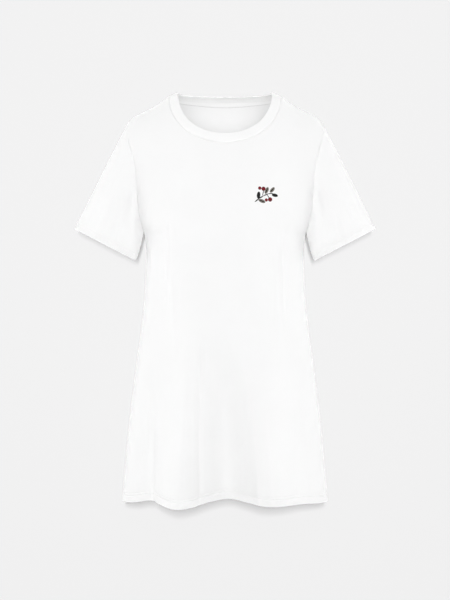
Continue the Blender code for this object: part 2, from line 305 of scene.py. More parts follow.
FRONT_CREASES = (
    # folds that fall from the bust, a ridge and a trough on each side
    Crease(((-258.0, -114.0), (-360.0, -113.0), (-455.0, -110.0), (-590.0, -106.0)), 12.0, 1.9),
    Crease(((-258.0, -126.0), (-350.0, -125.0), (-430.0, -125.0), (-500.0, -126.0)), 6.5, -2.6, (0.25, 0.35)),
    Crease(((-262.0, 106.0), (-380.0, 111.0), (-500.0, 116.0), (-640.0, 120.0)), 11.0, 1.7),
    Crease(((-280.0, 118.0), (-380.0, 123.5), (-460.0, 127.0), (-545.0, 130.0)), 6.5, -2.4, (0.25, 0.4)),
    # steeper flanks of the flutes
    Crease(((-515.0, -50.0), (-600.0, -51.5), (-720.0, -54.0), (-895.0, -53.0)), 9.5, -3.6, (0.2, 0.0)),
    Crease(((-600.0, -44.0), (-720.0, -42.0), (-895.0, -40.0)), 16.0, -1.4, (0.5, 0.0)),
    Crease(((-560.0, -76.0), (-700.0, -84.0), (-895.0, -90.0)), 16.0, 2.4, (0.5, 0.0)),
    Crease(((-590.0, 22.0), (-700.0, 44.0), (-800.0, 54.0), (-895.0, 57.0)), 17.0, -3.6, (0.5, 0.0)),
    Crease(((-630.0, 68.0), (-760.0, 84.0), (-895.0, 92.0)), 18.0, 2.2, (0.6, 0.0)),
    Crease(((-620.0, -147.0), (-760.0, -154.0), (-895.0, -157.0)), 11.0, -4.3, (0.4, 0.0)),
    Crease(((-500.0, 152.0), (-700.0, 166.0), (-895.0, 172.0)), 26.0, -3.0, (0.5, 0.0)),
    # short pulls at the underarms
    Crease(((-214.0, -146.0), (-262.0, -160.0), (-318.0, -167.0)), 8.0, -1.3, (0.5, 0.4)),
    Crease(((-232.0, 150.0), (-280.0, 160.0), (-338.0, 163.0)), 9.0, -1.2, (0.5, 0.4)),
    Crease(((-300.0, -150.0), (-350.0, -157.0), (-430.0, -160.0)), 8.0, 1.4, (0.5, 0.5)),
    # shallow waves that keep the middle from being quite even
    Crease(((-395.0, 40.0), (-520.0, 30.0), (-640.0, 18.0)), 34.0, -1.6, (0.5, 0.5)),
    Crease(((-140.0, -96.0), (-205.0, -92.0), (-262.0, -98.0)), 24.0, 1.0, (0.5, 0.5)),
)
BACK_CREASES = (
    Crease(((-150.0, -118.0), (-300.0, -112.0), (-430.0, -104.0), (-600.0, -108.0)), 15.0, 3.0, (0.4, 0.4)),
    Crease(((-190.0, -140.0), (-340.0, -134.0), (-500.0, -133.0)), 12.0, -2.4, (0.4, 0.5)),
    Crease(((-170.0, 124.0), (-290.0, 116.0), (-480.0, 109.0)), 14.0, 2.6, (0.4, 0.5)),
    Crease(((-240.0, 140.0), (-400.0, 136.0), (-560.0, 141.0)), 11.0, -2.2, (0.4, 0.5)),
    Crease(((-560.0, -62.0), (-720.0, -74.0), (-895.0, -80.0)), 15.0, -3.6, (0.5, 0.0)),
    Crease(((-600.0, 22.0), (-760.0, 28.0), (-895.0, 30.0)), 14.0, -3.4, (0.5, 0.0)),
    Crease(((-640.0, 118.0), (-780.0, 126.0), (-895.0, 128.0)), 12.0, -3.0, (0.5, 0.0)),
    Crease(((-660.0, -172.0), (-780.0, -178.0), (-895.0, -181.0)), 14.0, -3.0, (0.5, 0.0)),
    Crease(((-360.0, -40.0), (-410.0, 6.0), (-440.0, 52.0)), 16.0, -1.6, (0.5, 0.5)),
    Crease(((-226.0, -150.0), (-275.0, -162.0), (-330.0, -166.0)), 9.0, -2.6, (0.5, 0.4)),
    Crease(((-218.0, 148.0), (-270.0, 160.0), (-322.0, 165.0)), 8.0, -2.6, (0.5, 0.4)),
)
RIGHT_SLEEVE_CREASES = (
    Crease(((0.02, 2.05), (0.35, 2.10), (0.75, 2.20)), 0.42, -4.2, (0.2, 0.5)),
    Crease(((0.12, 0.62), (0.50, 0.70), (0.96, 0.82)), 0.20, -1.5, (0.4, 0.3)),
    Crease(((0.40, 1.22), (0.70, 1.26), (1.00, 1.30)), 0.16, 1.3, (0.5, 0.0)),
    Crease(((0.46, 1.66), (0.75, 1.70), (1.00, 1.74)), 0.17, -1.5, (0.5, 0.0)),
    Crease(((0.05, 4.15), (0.40, 4.05), (0.85, 3.95)), 0.36, -3.6, (0.2, 0.5)),
    Crease(((0.20, 5.25), (0.60, 5.15), (1.00, 5.05)), 0.22, -1.8, (0.4, 0.0)),
    Crease(((0.50, 4.60), (0.80, 4.56), (1.00, 4.52)), 0.18, 1.4, (0.5, 0.0)),
)
LEFT_SLEEVE_CREASES = (
    Crease(((0.02, 2.00), (0.35, 2.08), (0.80, 2.16)), 0.40, -4.4, (0.2, 0.5)),
    Crease(((0.16, 0.50), (0.55, 0.60), (0.96, 0.66)), 0.18, -1.3, (0.4, 0.3)),
    Crease(((0.34, 1.06), (0.68, 1.02), (1.00, 0.98)), 0.17, 1.4, (0.5, 0.0)),
    Crease(((0.52, 1.50), (0.78, 1.58), (1.00, 1.64)), 0.16, -1.6, (0.5, 0.0)),
    Crease(((0.05, 4.25), (0.40, 4.12), (0.80, 4.02)), 0.34, -3.8, (0.2, 0.5)),
    Crease(((0.24, 5.40), (0.62, 5.32), (1.00, 5.24)), 0.20, -1.6, (0.4, 0.0)),
)


@dataclass(frozen=True)
class BodyCut:
    """The sizes that the front and the back share, and the surfaces that they give.

    The surfaces take a place across as a share of the width, from -1 to 1. Rows of the yoke are counted from
    the neckline: `seam_rows` of them end on the shoulder seam and `arm_rows` on the armhole.
    """

    shoulder_x: float = 212.0
    shoulder_z: float = -66.0
    underarm_z: float = -303.0
    hem_z: float = -889.0
    neck_half: float = 122.0
    neck_z: float = -6.0
    neck_bow: float = 2.1
    ridge_y: float = 9.0
    seam_gap: float = 0.3
    hem_half: float = 223.0
    seam_rows: float = 4.0
    arm_rows: float = 11.0
    ridge: Line = Line((0.0, 60.0, 100.0, 122.0, 139.0, 156.0, 174.0, 191.0, 203.0, 212.0),
                       (16.0, 13.0, 4.0, -6.0, -19.0, -30.5, -40.0, -48.0, -55.5, -66.0))
    armhole: Line = Line((-303.0, -290.0, -262.0, -219.0, -175.0, -134.0, -104.0, -66.0),
                         (176.5, 180.5, 186.5, 190.0, 193.0, 200.5, 208.5, 212.0))
    half: Line = Line(BODY_Z, (223.0, 219.5, 215.5, 211.5, 207.0, 202.0, 196.5, 191.0, 184.5, 179.0, 174.5,
                               172.0, 170.5, 172.5, 176.5))
    skirt_oval: float = 2.2
    flute_narrow: float = 0.7
    side_calm: int = 8
    arm_steps: int = 8
    arm_late: float = 0.4
    chest_rounder: float = 0.5
    yoke_oval: float = 2.0
    oval_growth: float = 0.2
    ridge_fade: float = 1.4
    ridge_level: float = 0.6
    like_neck_rows: float = 7.0
    full_bow_rows: float = 6.0
    bow_power: float = 0.9

    def yoke(self, cut: SideCut, share: Array, s: Array) -> Array:
        """Return points between the shoulder line and the underarm.

        Args:
            cut: The front or the back.
            share: Distance from the middle, as a share of the width.
            s: 0 on the shoulder line to 1 at the underarm's height.

        Returns:
            A point for each pair.
        """
        down = np.cos(s * np.pi / 2.0)
        half = self.armhole.at(self.underarm_z + (self.shoulder_z - self.underarm_z) * down)
        top = self.ridge.at(self.shoulder_x * np.abs(share))
        depth = cut.depth.values[-1] * np.sin(s * np.pi / 2.0) ** cut.rounding
        arm = cut.arm * np.maximum(np.sin(np.pi * s), 0.0) ** (1.0 - self.arm_late * s)
        oval = self.yoke_oval + self.oval_growth * s
        rounder = 1.0 - self.chest_rounder * s**5 * (6.0 - 5.0 * s)
        full = np.maximum(1.0 - np.abs(share) ** oval, 0.0) ** rounder
        y = cut.side.value * (arm + (depth - arm) * full)
        ridge = self.ridge_y * (1.0 - ease(s * self.ridge_fade))
        y = y + ridge * (1.0 - self.ridge_level * share * share)
        return np.stack([half * share, y, self.underarm_z + (top - self.underarm_z) * down], axis=-1)

    def flute_depth(self, cut: SideCut, x: Array, z: Array) -> Array:
        """Return how far the flutes push the skirt out.

        Args:
            cut: The front or the back.
            x: Place across, for each point.
            z: Height, for each point.

        Returns:
            Millimetres outwards for each point.
        """
        total = np.zeros_like(x)
        for flute in cut.flutes:
            run = (flute.start - z) / (flute.start - self.hem_z)
            middle = flute.top_x + (flute.hem_x - flute.top_x) * run
            off = np.abs(x - middle) / (flute.half * (self.flute_narrow + (1.0 - self.flute_narrow) * run))
            bump = 0.5 * (1.0 + np.cos(np.pi * np.clip(off, 0.0, 1.0)))
            total = total + np.where(run > 0.0, flute.out * ease(run) * bump, 0.0)
        return total

    def skirt(self, cut: SideCut, share: Array, t: Array) -> Array:
        """Return points between the underarm's height and the hem.

        Args:
            cut: The front or the back.
            share: Distance from the middle, as a share of the width.
            t: 0 at the underarm's height to 1 on the hem.

        Returns:
            A point for each pair.
        """
        low = cut.hem.at(self.hem_half * share)
        z = self.underarm_z + (low - self.underarm_z) * t
        x = self.half.at(z) * share
        full = np.sqrt(np.maximum(1.0 - np.abs(share) ** self.skirt_oval, 0.0))
        out = self.flute_depth(cut, x, z) * (1.0 - share**self.side_calm)
        return np.stack([x, cut.side.value * (cut.depth.at(z) * full + out), z], axis=-1)

    def neckline(self, cut: SideCut, share: Array) -> Array:
        """Find where the neckline crosses the surface, by halving.

        Args:
            cut: The front or the back.
            share: Distance from the middle, as a share of the width.

        Returns:
            The s of the neckline for each share.
        """
        low = np.zeros_like(share)
        high = np.full_like(share, 0.95)
        halvings = 40
        for _ in range(halvings):
            middle = 0.5 * (low + high)
            point = self.yoke(cut, share, middle)
            across = np.minimum(np.abs(point[..., 0]) / self.neck_half, 1.0)
            line = self.neck_z - cut.drop * (1.0 - across**self.neck_bow) ** (1.0 / self.neck_bow)
            above = point[..., 2] > line
            low = np.where(above, middle, low)
            high = np.where(above, high, middle)
        found = 0.5 * (low + high)
        return np.where(np.abs(share) >= self.neck_half / self.shoulder_x - 1e-13, 0.0, found)

    def armhole_steps(self, count: int) -> Array:
        """Space places evenly down the armhole.

        Args:
            count: How many steps to take.

        Returns:
            The s of each place, with both ends.
        """
        fine_steps = 1600
        fine = np.linspace(0.0, 1.0, fine_steps)
        line = self.yoke(FRONT_CUT, np.ones_like(fine), fine)
        run = run_along(line[:, None, :], 0)[:, 0]
        return np.interp(np.linspace(0.0, run[-1], count + 1), run, fine)

    def yoke_rows(self, cut: SideCut, angles: Array, steps: Array) -> tuple[Array, Array]:
        """Lay rows round the neckline and down to the underarm.

        Args:
            cut: The front or the back.
            angles: Place of each column, from -90 to 90 degrees in radians.
            steps: Place of each row: 0 is the neckline, seam_rows the shoulder point, the last the underarm.

        Returns:
            The points' shares of the width, and their s.
        """
        neck = self.neck_half / self.shoulder_x
        last = self.seam_rows + self.arm_rows
        starts = self.neckline(cut, neck * np.sin(angles))[None, :]
        deepest = self.neckline(cut, np.zeros(1))[0]
        k = steps[:, None]
        reach = neck + (1.0 - neck) * np.minimum(k / self.seam_rows, 1.0)
        count = int(self.arm_rows) * self.arm_steps
        edge = np.interp(k, np.linspace(self.seam_rows, last, count + 1), self.armhole_steps(count))
        edge = np.where(k <= self.seam_rows, 0.0, edge)
        middle = deepest + (1.0 - deepest) * k / last
        power = 1.0 + self.bow_power * np.minimum(k / self.full_bow_rows, 1.0)
        like_neck = np.maximum(1.0 - k / self.like_neck_rows, 0.0) ** 2
        bow = np.maximum(np.cos(angles), 0.0)[None, :] ** power * (1.0 - like_neck)
        bow = bow + starts / deepest * like_neck
        share = reach * np.sin(angles)[None, :]
        s = edge + (middle - edge) * bow
        return share, s


BODY = BodyCut()


@dataclass
class Cloth:
    """One piece of cloth as a grid: rows from its upper edge to its lower edge, columns across it."""

    points: Array
    into: Array
    closed: bool
    across: Array
    down: Array
    sink: Array
    wall: Array

    @classmethod
    def lay(cls, points: Array, middle: Array, closed: bool, across: Array, down: Array,
            wall: float) -> Cloth:
        """Start a piece from its outer points.

        Args:
            points: Grid of outer points.
            middle: A point, or one for each row, that the cloth goes round.
            closed: Whether the rows are rings.
            across: Flat place across the cloth, for each point and, in a ring, for the closing one.
            down: Flat place down the cloth, alike.
            wall: Thickness of the cloth.

        Returns:
            The piece, with its walls level.
        """
        into = inward(points, middle, closed)
        level = np.zeros(points.shape[:2])
        return cls(points, into, closed, across, down, level, level + wall)

    def crease(self, creases: tuple[Crease, ...], along: Array, across: Array, free: Array,
               middle: Array) -> None:
        """Push creases into the cloth along its own normals, and find these again.

        Args:
            creases: The creases.
            along: Place of each point along the cloth, as the creases give it.
            across: Place of each point across the cloth, alike.
            free: How free each point is to move, 0 where a seam holds it.
            middle: A point, or one for each row, that the cloth goes round.
        """
        push = np.zeros(self.points.shape[:2])
        for crease in creases:
            push = push + crease.push(along, across)
        self.points = self.points - self.into * (push * ease(free))[..., None]
        self.into = inward(self.points, middle, self.closed)

    def from_top(self) -> Array:
        """Return each point's distance down its column."""
        return run_along(self.points, 0)

    def from_edge(self) -> Array:
        """Return each point's distance up its column from the lower edge."""
        run = self.from_top()
        return run[-1:] - run

    def from_sides(self) -> Array:
        """Return each point's distance along its row to the nearer side edge."""
        run = run_along(self.points, 1)
        return np.minimum(run, run[:, -1:] - run)

    def outer(self) -> Array:
        """Return the outer points."""
        return self.points + self.into * self.sink[..., None]

    def inner(self) -> Array:
        """Return the inner points."""
        return self.points + self.into * (self.sink + self.wall)[..., None]

    def trace(self, distance: float, from_top: bool, inside: bool = False,
              lift: float = THREAD_LIFT) -> tuple[Array, Array]:
        """Follow the cloth at one distance from its upper or lower edge.

        Args:
            distance: Millimetres from the edge.
            from_top: Whether the edge is the upper one.
            inside: Whether the path is on the inner face.
            lift: How far the path stays off the cloth.

        Returns:
            The path's points and the direction off the cloth at each.
        """
        run = self.from_top() if from_top else self.from_edge()[::-1]
        face = self.inner() if inside else self.outer()
        away = self.into if inside else -self.into
        if not from_top:
            face, away = face[::-1], away[::-1]
        columns = range(face.shape[1])
        path = np.array([[np.interp(distance, run[:, j], face[:, j, i]) for i in range(3)] for j in columns])
        off = np.array([[np.interp(distance, run[:, j], away[:, j, i]) for i in range(3)] for j in columns])
        off = unit(off)
        return path + off * lift, off

    def area(self) -> float:
        """Work out the area of the outer face.

        Returns:
            The area in square metres.
        """
        face = self.points
        if self.closed:
            face = np.concatenate([face, face[:, :1]], axis=1)
        a, b, c, d = face[:-1, :-1], face[:-1, 1:], face[1:, 1:], face[1:, :-1]
        return float(0.5 * np.linalg.norm(np.cross(c - a, d - b), axis=-1).sum() * MM * MM)

    def flat(self, row: Array | int, col: Array | int) -> Array:
        """Return the flat places of some points, across and down."""
        return np.stack([self.across[row, col], self.down[row, col]], axis=1)

    def mesh(self, name: str) -> bpy.types.Mesh:
        """Make the closed thin shell.

        The mesh gets a UV map `cloth` with the flat place across and down in metres, and two attributes:
        `edge` is the distance from the lower edge in metres, and `outside` is 1 on the outer face and 0 on
        the inner one.

        Args:
            name: Name of the mesh.

        Returns:
            The mesh.
        """
        outer, inner = self.outer(), self.inner()
        rows, cols = outer.shape[:2]
        vertices = np.concatenate([outer.reshape(-1, 3), inner.reshape(-1, 3)]) * MM
        below = rows * cols
        wide = cols if self.closed else cols - 1
        i, j = np.meshgrid(np.arange(rows - 1), np.arange(wide), indexing="ij")
        i, j = i.ravel(), j.ravel()
        corners = [(i, j), (i, j + 1), (i + 1, j + 1), (i + 1, j)]
        quads = np.stack([row * cols + col % cols for row, col in corners], axis=1)
        places = np.stack([self.flat(row, col) for row, col in corners], axis=1)
        faces = [quads, quads[:, ::-1] + below]
        maps = [places, places[:, ::-1]]
        i, j = np.arange(rows - 1), np.arange(wide)
        rims = [((0, j), (0, j + 1), False), ((rows - 1, j), (rows - 1, j + 1), True)]
        if not self.closed:
            rims += [((i, 0), (i + 1, 0), True), ((i, cols - 1), (i + 1, cols - 1), False)]
        for start, stop, turned in rims:
            near, far = (row * cols + col % cols for row, col in (start, stop))
            rim = np.stack([near, near + below, far + below, far], axis=1)
            place, after = self.flat(*start), self.flat(*stop)
            flat = np.stack([place, place, after, after], axis=1)
            faces.append(rim[:, ::-1] if turned else rim)
            maps.append(flat[:, ::-1] if turned else flat)
        faces = np.concatenate(faces)
        maps = np.concatenate(maps).reshape(-1, 2) * MM
        a, b, c, d = (vertices[faces[:, k]] for k in range(4))
        volume = np.sum(a * np.cross(b, c)) + np.sum(a * np.cross(c, d))
        if volume < 0.0:
            faces = faces[:, ::-1]
            maps = maps.reshape(-1, 4, 2)[:, ::-1].reshape(-1, 2)
        mesh = bpy.data.meshes.new(name)
        mesh.from_pydata(vertices.tolist(), [], faces.tolist())
        mesh.uv_layers.new(name="cloth").data.foreach_set("uv", maps.ravel())
        edge = np.tile(self.from_edge().ravel() * MM, 2).astype(np.float32)
        mesh.attributes.new("edge", "FLOAT", "POINT").data.foreach_set("value", edge)
        outside = np.repeat([1.0, 0.0], below).astype(np.float32)
        mesh.attributes.new("outside", "FLOAT", "POINT").data.foreach_set("value", outside)
        mesh.shade_smooth()
        mesh.update()
        return mesh


@dataclass(frozen=True)
class Hem:
    """A hem turned in and sewn down, its sizes measured from the edge.

    `thick` is the doubled cloth and `step` the width over which it thins to the single one. `by_edge` and
    `further` are distances at which the mesh has a row, besides those on and beside the rows of stitches.
    """

    depth: float
    rows: tuple[float, float]
    beside: tuple[float, ...]
    further: tuple[float, ...]
    by_edge: tuple[float, ...] = (0.0, 0.12, 0.35, 0.75, 1.4, 2.6, 5.0)
    thick: float = 1.9
    step: float = 0.6
    row_depth: float = 0.22
    row_width: float = 0.7

    def places(self) -> list[float]:
        """Return the distances from the edge at which the mesh has a row."""
        return [*self.by_edge, *self.further, *(row + off for row in self.rows for off in self.beside)]

    def turn(self, cloth: Cloth, wall: float) -> None:
        """Draw the cloth in at the rows of stitches and fold its edge.

        Args:
            cloth: The cloth.
            wall: Thickness of the single cloth.
        """
        edge = cloth.from_edge()
        for row in self.rows:
            cloth.sink = cloth.sink + groove(edge - row, self.row_depth, self.row_width)
        bend = fold_over(edge, self.thick)
        doubled = ease((self.depth + self.step - edge) / self.step)
        cloth.sink = cloth.sink + bend
        cloth.wall = wall + (self.thick - wall) * doubled - 2.0 * bend


def show(name: str, mesh: bpy.types.Mesh, material: bpy.types.Material, node: str | None,
         slot: str) -> bpy.types.Object:
    """Put a piece into the scene, on the part's one body.

    Args:
        name: Name of the piece.
        mesh: Its mesh, in place.
        material: Its finish.
        node: The solid that it stands for, if any.
        slot: The record's slot that its finish comes from; not used.

    Returns:
        The piece.
    """
    piece = bpy.data.objects.new(name, mesh)
    mesh.materials.clear()
    mesh.materials.append(material)
    bpy.context.scene.collection.objects.link(piece)
    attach(piece, "root")
    if node:
        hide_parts(node)
    LOG.info("%s: %d faces", name, len(mesh.polygons))
    return piece


class Graph:
    """Short ways to add nodes to one node tree."""

    def __init__(self, tree: bpy.types.NodeTree) -> None:
        """Keep the tree."""
        self.tree = tree

    def add(self, kind: str, **settings: object) -> bpy.types.Node:
        """Add a node.

        Args:
            kind: The node's type.
            **settings: Its properties.

        Returns:
            The node.
        """
        node = self.tree.nodes.new(kind)
        for key, value in settings.items():
            setattr(node, key, value)
        return node

    def put(self, value: Value | Color | str, socket: Socket) -> None:
        """Give a socket its input.

        Args:
            value: A socket to link to it, or the value to set.
            socket: The socket.
        """
        if isinstance(value, bpy.types.NodeSocket):
            self.tree.links.new(value, socket)
        else:
            socket.default_value = value

    def feed(self, kind: str, values: dict[str, Value | Color], **settings: object) -> bpy.types.Node:
        """Add a node and give it its inputs.

        Args:
            kind: The node's type.
            values: Its inputs by name.
            **settings: Its properties.

        Returns:
            The node.
        """
        node = self.add(kind, **settings)
        for key, value in values.items():
            self.put(value, node.inputs[key])
        return node

    def math(self, operation: str, *values: Value) -> Socket:
        """Add a Math node.

        Args:
            operation: What it works out.
            *values: Its inputs in order.

        Returns:
            The result.
        """
        node = self.add("ShaderNodeMath", operation=operation)
        for k, value in enumerate(values):
            self.put(value, node.inputs[k])
        return node.outputs[0]

    def wave(self, turn: Value) -> Socket:
        """Return a wave between 0 and 1 that is 1 where the angle is 0."""
        return self.math("MULTIPLY_ADD", self.math("COSINE", turn), 0.5, 0.5)

    def ramp(self, value: Value, low: float, high: float, to_low: float = 0.0,
             to_high: float = 1.0) -> Socket:
        """Ease a value from one range to another.

        Args:
            value: The value.
            low: Where the first range starts.
            high: Where it ends.
            to_low: What its start becomes.
            to_high: What its end becomes.

        Returns:
            The eased value.
        """
        values = {"Value": value, "From Min": low, "From Max": high, "To Min": to_low, "To Max": to_high}
        return self.feed("ShaderNodeMapRange", values, interpolation_type="SMOOTHSTEP").outputs["Result"]

    def noise(self, vector: Socket, scale: float, detail: float = 2.0, roughness: float = 0.5) -> Socket:
        """Add a noise.

        Args:
            vector: Where to read it.
            scale: How fine it is.
            detail: How many finer layers it has.
            roughness: How strong these are.

        Returns:
            The noise, between 0 and 1.
        """
        values = {"Vector": vector, "Scale": scale, "Detail": detail, "Roughness": roughness}
        return self.feed("ShaderNodeTexNoise", values).outputs["Fac"]

    def blend(self, factor: Value, first: Value | Color, second: Value | Color) -> Socket:
        """Mix two colours.

        Args:
            factor: The share of the second.
            first: The first colour.
            second: The second colour.

        Returns:
            The mix.
        """
        node = self.add("ShaderNodeMix", data_type="RGBA")
        for k, value in ((0, factor), (6, first), (7, second)):
            self.put(value, node.inputs[k])
        return node.outputs[2]

    def mix(self, factor: Socket, first: Socket, second: Socket) -> Socket:
        """Mix two shaders.

        Args:
            factor: The share of the second.
            first: The first shader.
            second: The second shader.

        Returns:
            The mix.
        """
        node = self.add("ShaderNodeMixShader")
        for k, value in enumerate((factor, first, second)):
            self.put(value, node.inputs[k])
        return node.outputs[0]


def new_group(name: str, inputs: dict[str, float | None],
              outputs: tuple[str, ...]) -> tuple[Graph, dict[str, Socket], dict[str, Socket]]:
    """Start a shader node group.

    Args:
        name: Its name.
        inputs: Its inputs with their values, or None for a vector.
        outputs: Names of its outputs, all of them single values.

    Returns:
        The graph, the input sockets by name and the output sockets by name.
    """
    tree = bpy.data.node_groups.new(name, "ShaderNodeTree")
    for key, value in inputs.items():
        kind = "NodeSocketVector" if value is None else "NodeSocketFloat"
        socket = tree.interface.new_socket(key, in_out="INPUT", socket_type=kind)
        if value is not None:
            socket.default_value = value
    for key in outputs:
        tree.interface.new_socket(key, in_out="OUTPUT", socket_type="NodeSocketFloat")
    graph = Graph(tree)
    start = graph.add("NodeGroupInput")
    end = graph.add("NodeGroupOutput")
    return graph, {key: start.outputs[key] for key in inputs}, {key: end.inputs[key] for key in outputs}


def knit_group() -> bpy.types.NodeTree:
    """Build the group that draws the loops of single jersey: columns of small Vs.

    Returns:
        The group, which puts out the height of the loops and a mask of the gaps between them, for painted
        shade.
    """
    graph, source, result = new_group(
        "knit loops", {"Across": 0.0, "Down": 0.0, "Wale": 0.0011, "Course": 0.0009}, ("Height", "Painted Gap Shade"))
    place = graph.math("FRACT", graph.math("DIVIDE", source["Across"], source["Wale"]))
    off = graph.math("ABSOLUTE", graph.math("MULTIPLY_ADD", place, 2.0, -1.0))
    row = graph.math("MULTIPLY_ADD", off, 0.55, graph.math("DIVIDE", source["Down"], source["Course"]))
    limb = graph.math("SINE", graph.math("MULTIPLY", off, math.pi))
    body = graph.math("MULTIPLY_ADD", graph.wave(graph.math("MULTIPLY", row, 2.0 * math.pi)), 0.45, 0.55)
    height = graph.math("MULTIPLY", limb, body)
    graph.put(height, result["Height"])
    graph.put(graph.math("SUBTRACT", 1.0, height), result["Painted Gap Shade"])
    return graph.tree


def fuzz_group() -> bpy.types.NodeTree:
    """Build the group for what is uneven in the yarn and the cloth.

    Returns:
        The group, which puts out noises for the yarn, for how the cloth lies and for its tone.
    """
    graph, source, result = new_group("yarn and lie", {"Place": None}, ("Yarn", "Lie", "Tone"))
    for key, scale, detail, roughness in (("Yarn", 900.0, 2.0, 0.6), ("Lie", 28.0, 2.0, 0.45),
                                          ("Tone", 11.0, 3.0, 0.55)):
        graph.put(graph.noise(source["Place"], scale, detail, roughness), result[key])
    return graph.tree


def pucker_group() -> bpy.types.NodeTree:
    """Build the group that draws a hem in where its rows of stitches hold it.

    Returns:
        The group, which puts out the height of the puckered hem.
    """
    stitch_pitch = 0.0031
    graph, source, result = new_group(
        "sewn hem", {"Across": 0.0, "Edge": 1.0, "Lower Row": 0.0145, "Upper Row": 0.020}, ("Height",))
    band = graph.ramp(graph.math("SUBTRACT", source["Edge"], source["Upper Row"]), 0.004, -0.002)
    place = graph.feed("ShaderNodeCombineXYZ", {
        "X": source["Across"], "Y": graph.math("MULTIPLY", source["Edge"], 0.35)}).outputs[0]
    waves = graph.noise(place, 150.0, 1.5, 0.5)
    held = []
    for row in ("Lower Row", "Upper Row"):
        off = graph.math("ABSOLUTE", graph.math("SUBTRACT", source["Edge"], source[row]))
        held.append(graph.ramp(off, 0.0022, 0.0003))
    both = graph.math("MAXIMUM", *held)
    pitch = graph.math("MULTIPLY", source["Across"], 2.0 * math.pi / stitch_pitch)
    tug = graph.math("MULTIPLY_ADD", graph.math("COSINE", pitch), 0.15, 0.85)
    pull = graph.math("MULTIPLY", graph.math("MULTIPLY", both, tug), 0.6)
    graph.put(graph.math("SUBTRACT", graph.math("MULTIPLY", waves, band), pull), result["Height"])
    return graph.tree


@dataclass(frozen=True)
class Spot:
    """One oval of the print: its ink, middle, half sizes and turn, in millimetres and degrees."""

    ink: Ink
    x: float
    y: float
    wide: float
    high: float
    turn: float = 0.0


@dataclass(frozen=True)
class SprigPrint:
    """A small printed sprig: a stem with leaves and a few berries."""

    spots: tuple[Spot, ...] = (
        Spot(Ink.BLACK, -17.5, -12.0, 6.2, 1.25, 38.0),
        Spot(Ink.BLACK, -8.6, -5.6, 6.6, 1.25, 31.0),
        Spot(Ink.BLACK, 2.2, 0.0, 7.0, 1.15, 22.0),
        Spot(Ink.BLACK, 12.6, 2.8, 6.0, 1.00, 8.0),
        Spot(Ink.BLACK, -4.0, 4.0, 6.2, 0.90, 74.0),
        Spot(Ink.BLACK, 7.5, -4.0, 4.8, 0.90, -58.0),
        Spot(Ink.BLACK, -14.0, -1.2, 7.6, 3.8, 84.0),
        Spot(Ink.GREY, -6.6, -13.6, 7.8, 3.8, -20.0),
        Spot(Ink.GREY, 3.8, 9.2, 7.8, 3.9, 66.0),
        Spot(Ink.GREY, 16.4, 10.8, 7.4, 3.7, 48.0),
        Spot(Ink.BLACK, 22.2, -0.6, 7.0, 3.5, -10.0),
        Spot(Ink.BLACK, -7.0, -13.5, 6.4, 1.1, -20.0),
        Spot(Ink.BLACK, 3.6, 8.6, 6.4, 1.1, 66.0),
        Spot(Ink.BLACK, 15.8, 10.2, 6.0, 1.1, 48.0),
        Spot(Ink.RED, -3.2, 12.8, 4.5, 4.5),
        Spot(Ink.RED, 11.4, -10.0, 4.7, 4.7),
        Spot(Ink.RED, -11.4, 14.0, 3.6, 3.6),
        Spot(Ink.RED, 3.0, -11.2, 3.4, 3.4),
        Spot(Ink.BLACK, -2.4, 15.0, 1.0, 1.0),
        Spot(Ink.BLACK, 12.2, -12.0, 1.0, 1.0),
    )
    blur: float = 0.12
    most_blur: float = 0.3

    def group(self) -> bpy.types.NodeTree:
        """Build the group that draws the sprig.

        Returns:
            The group, which puts out each ink's mask for a place on the cloth in metres.
        """
        graph, source, result = new_group(
            "sprig print", {"Across": 0.0, "Up": 0.0}, tuple(ink.value for ink in Ink))
        masks: dict[Ink, Socket] = {}
        for spot in self.spots:
            turn = math.radians(spot.turn)
            x = graph.math("SUBTRACT", source["Across"], spot.x * MM)
            y = graph.math("SUBTRACT", source["Up"], spot.y * MM)
            along = graph.math("MULTIPLY_ADD", y, math.sin(turn) / (spot.wide * MM),
                               graph.math("MULTIPLY", x, math.cos(turn) / (spot.wide * MM)))
            over = graph.math("MULTIPLY_ADD", y, math.cos(turn) / (spot.high * MM),
                              graph.math("MULTIPLY", x, -math.sin(turn) / (spot.high * MM)))
            reach = graph.math("SQRT", graph.math("MULTIPLY_ADD", along, along,
                                                  graph.math("MULTIPLY", over, over)))
            soft = min(self.blur / spot.high, self.most_blur)
            mask = graph.ramp(reach, 1.0 + soft, 1.0 - soft)
            masks[spot.ink] = graph.math("MAXIMUM", masks[spot.ink], mask) if spot.ink in masks else mask
        for ink, mask in masks.items():
            graph.put(mask, result[ink.value])
        return graph.tree


@dataclass(frozen=True)
class Groups:
    """The shader node groups that the finishes share."""

    knit: bpy.types.NodeTree
    fuzz: bpy.types.NodeTree
    pucker: bpy.types.NodeTree
    sprig: bpy.types.NodeTree

    @classmethod
    def build(cls) -> Groups:
        """Build each group once."""
        return cls(knit_group(), fuzz_group(), pucker_group(), SprigPrint().group())


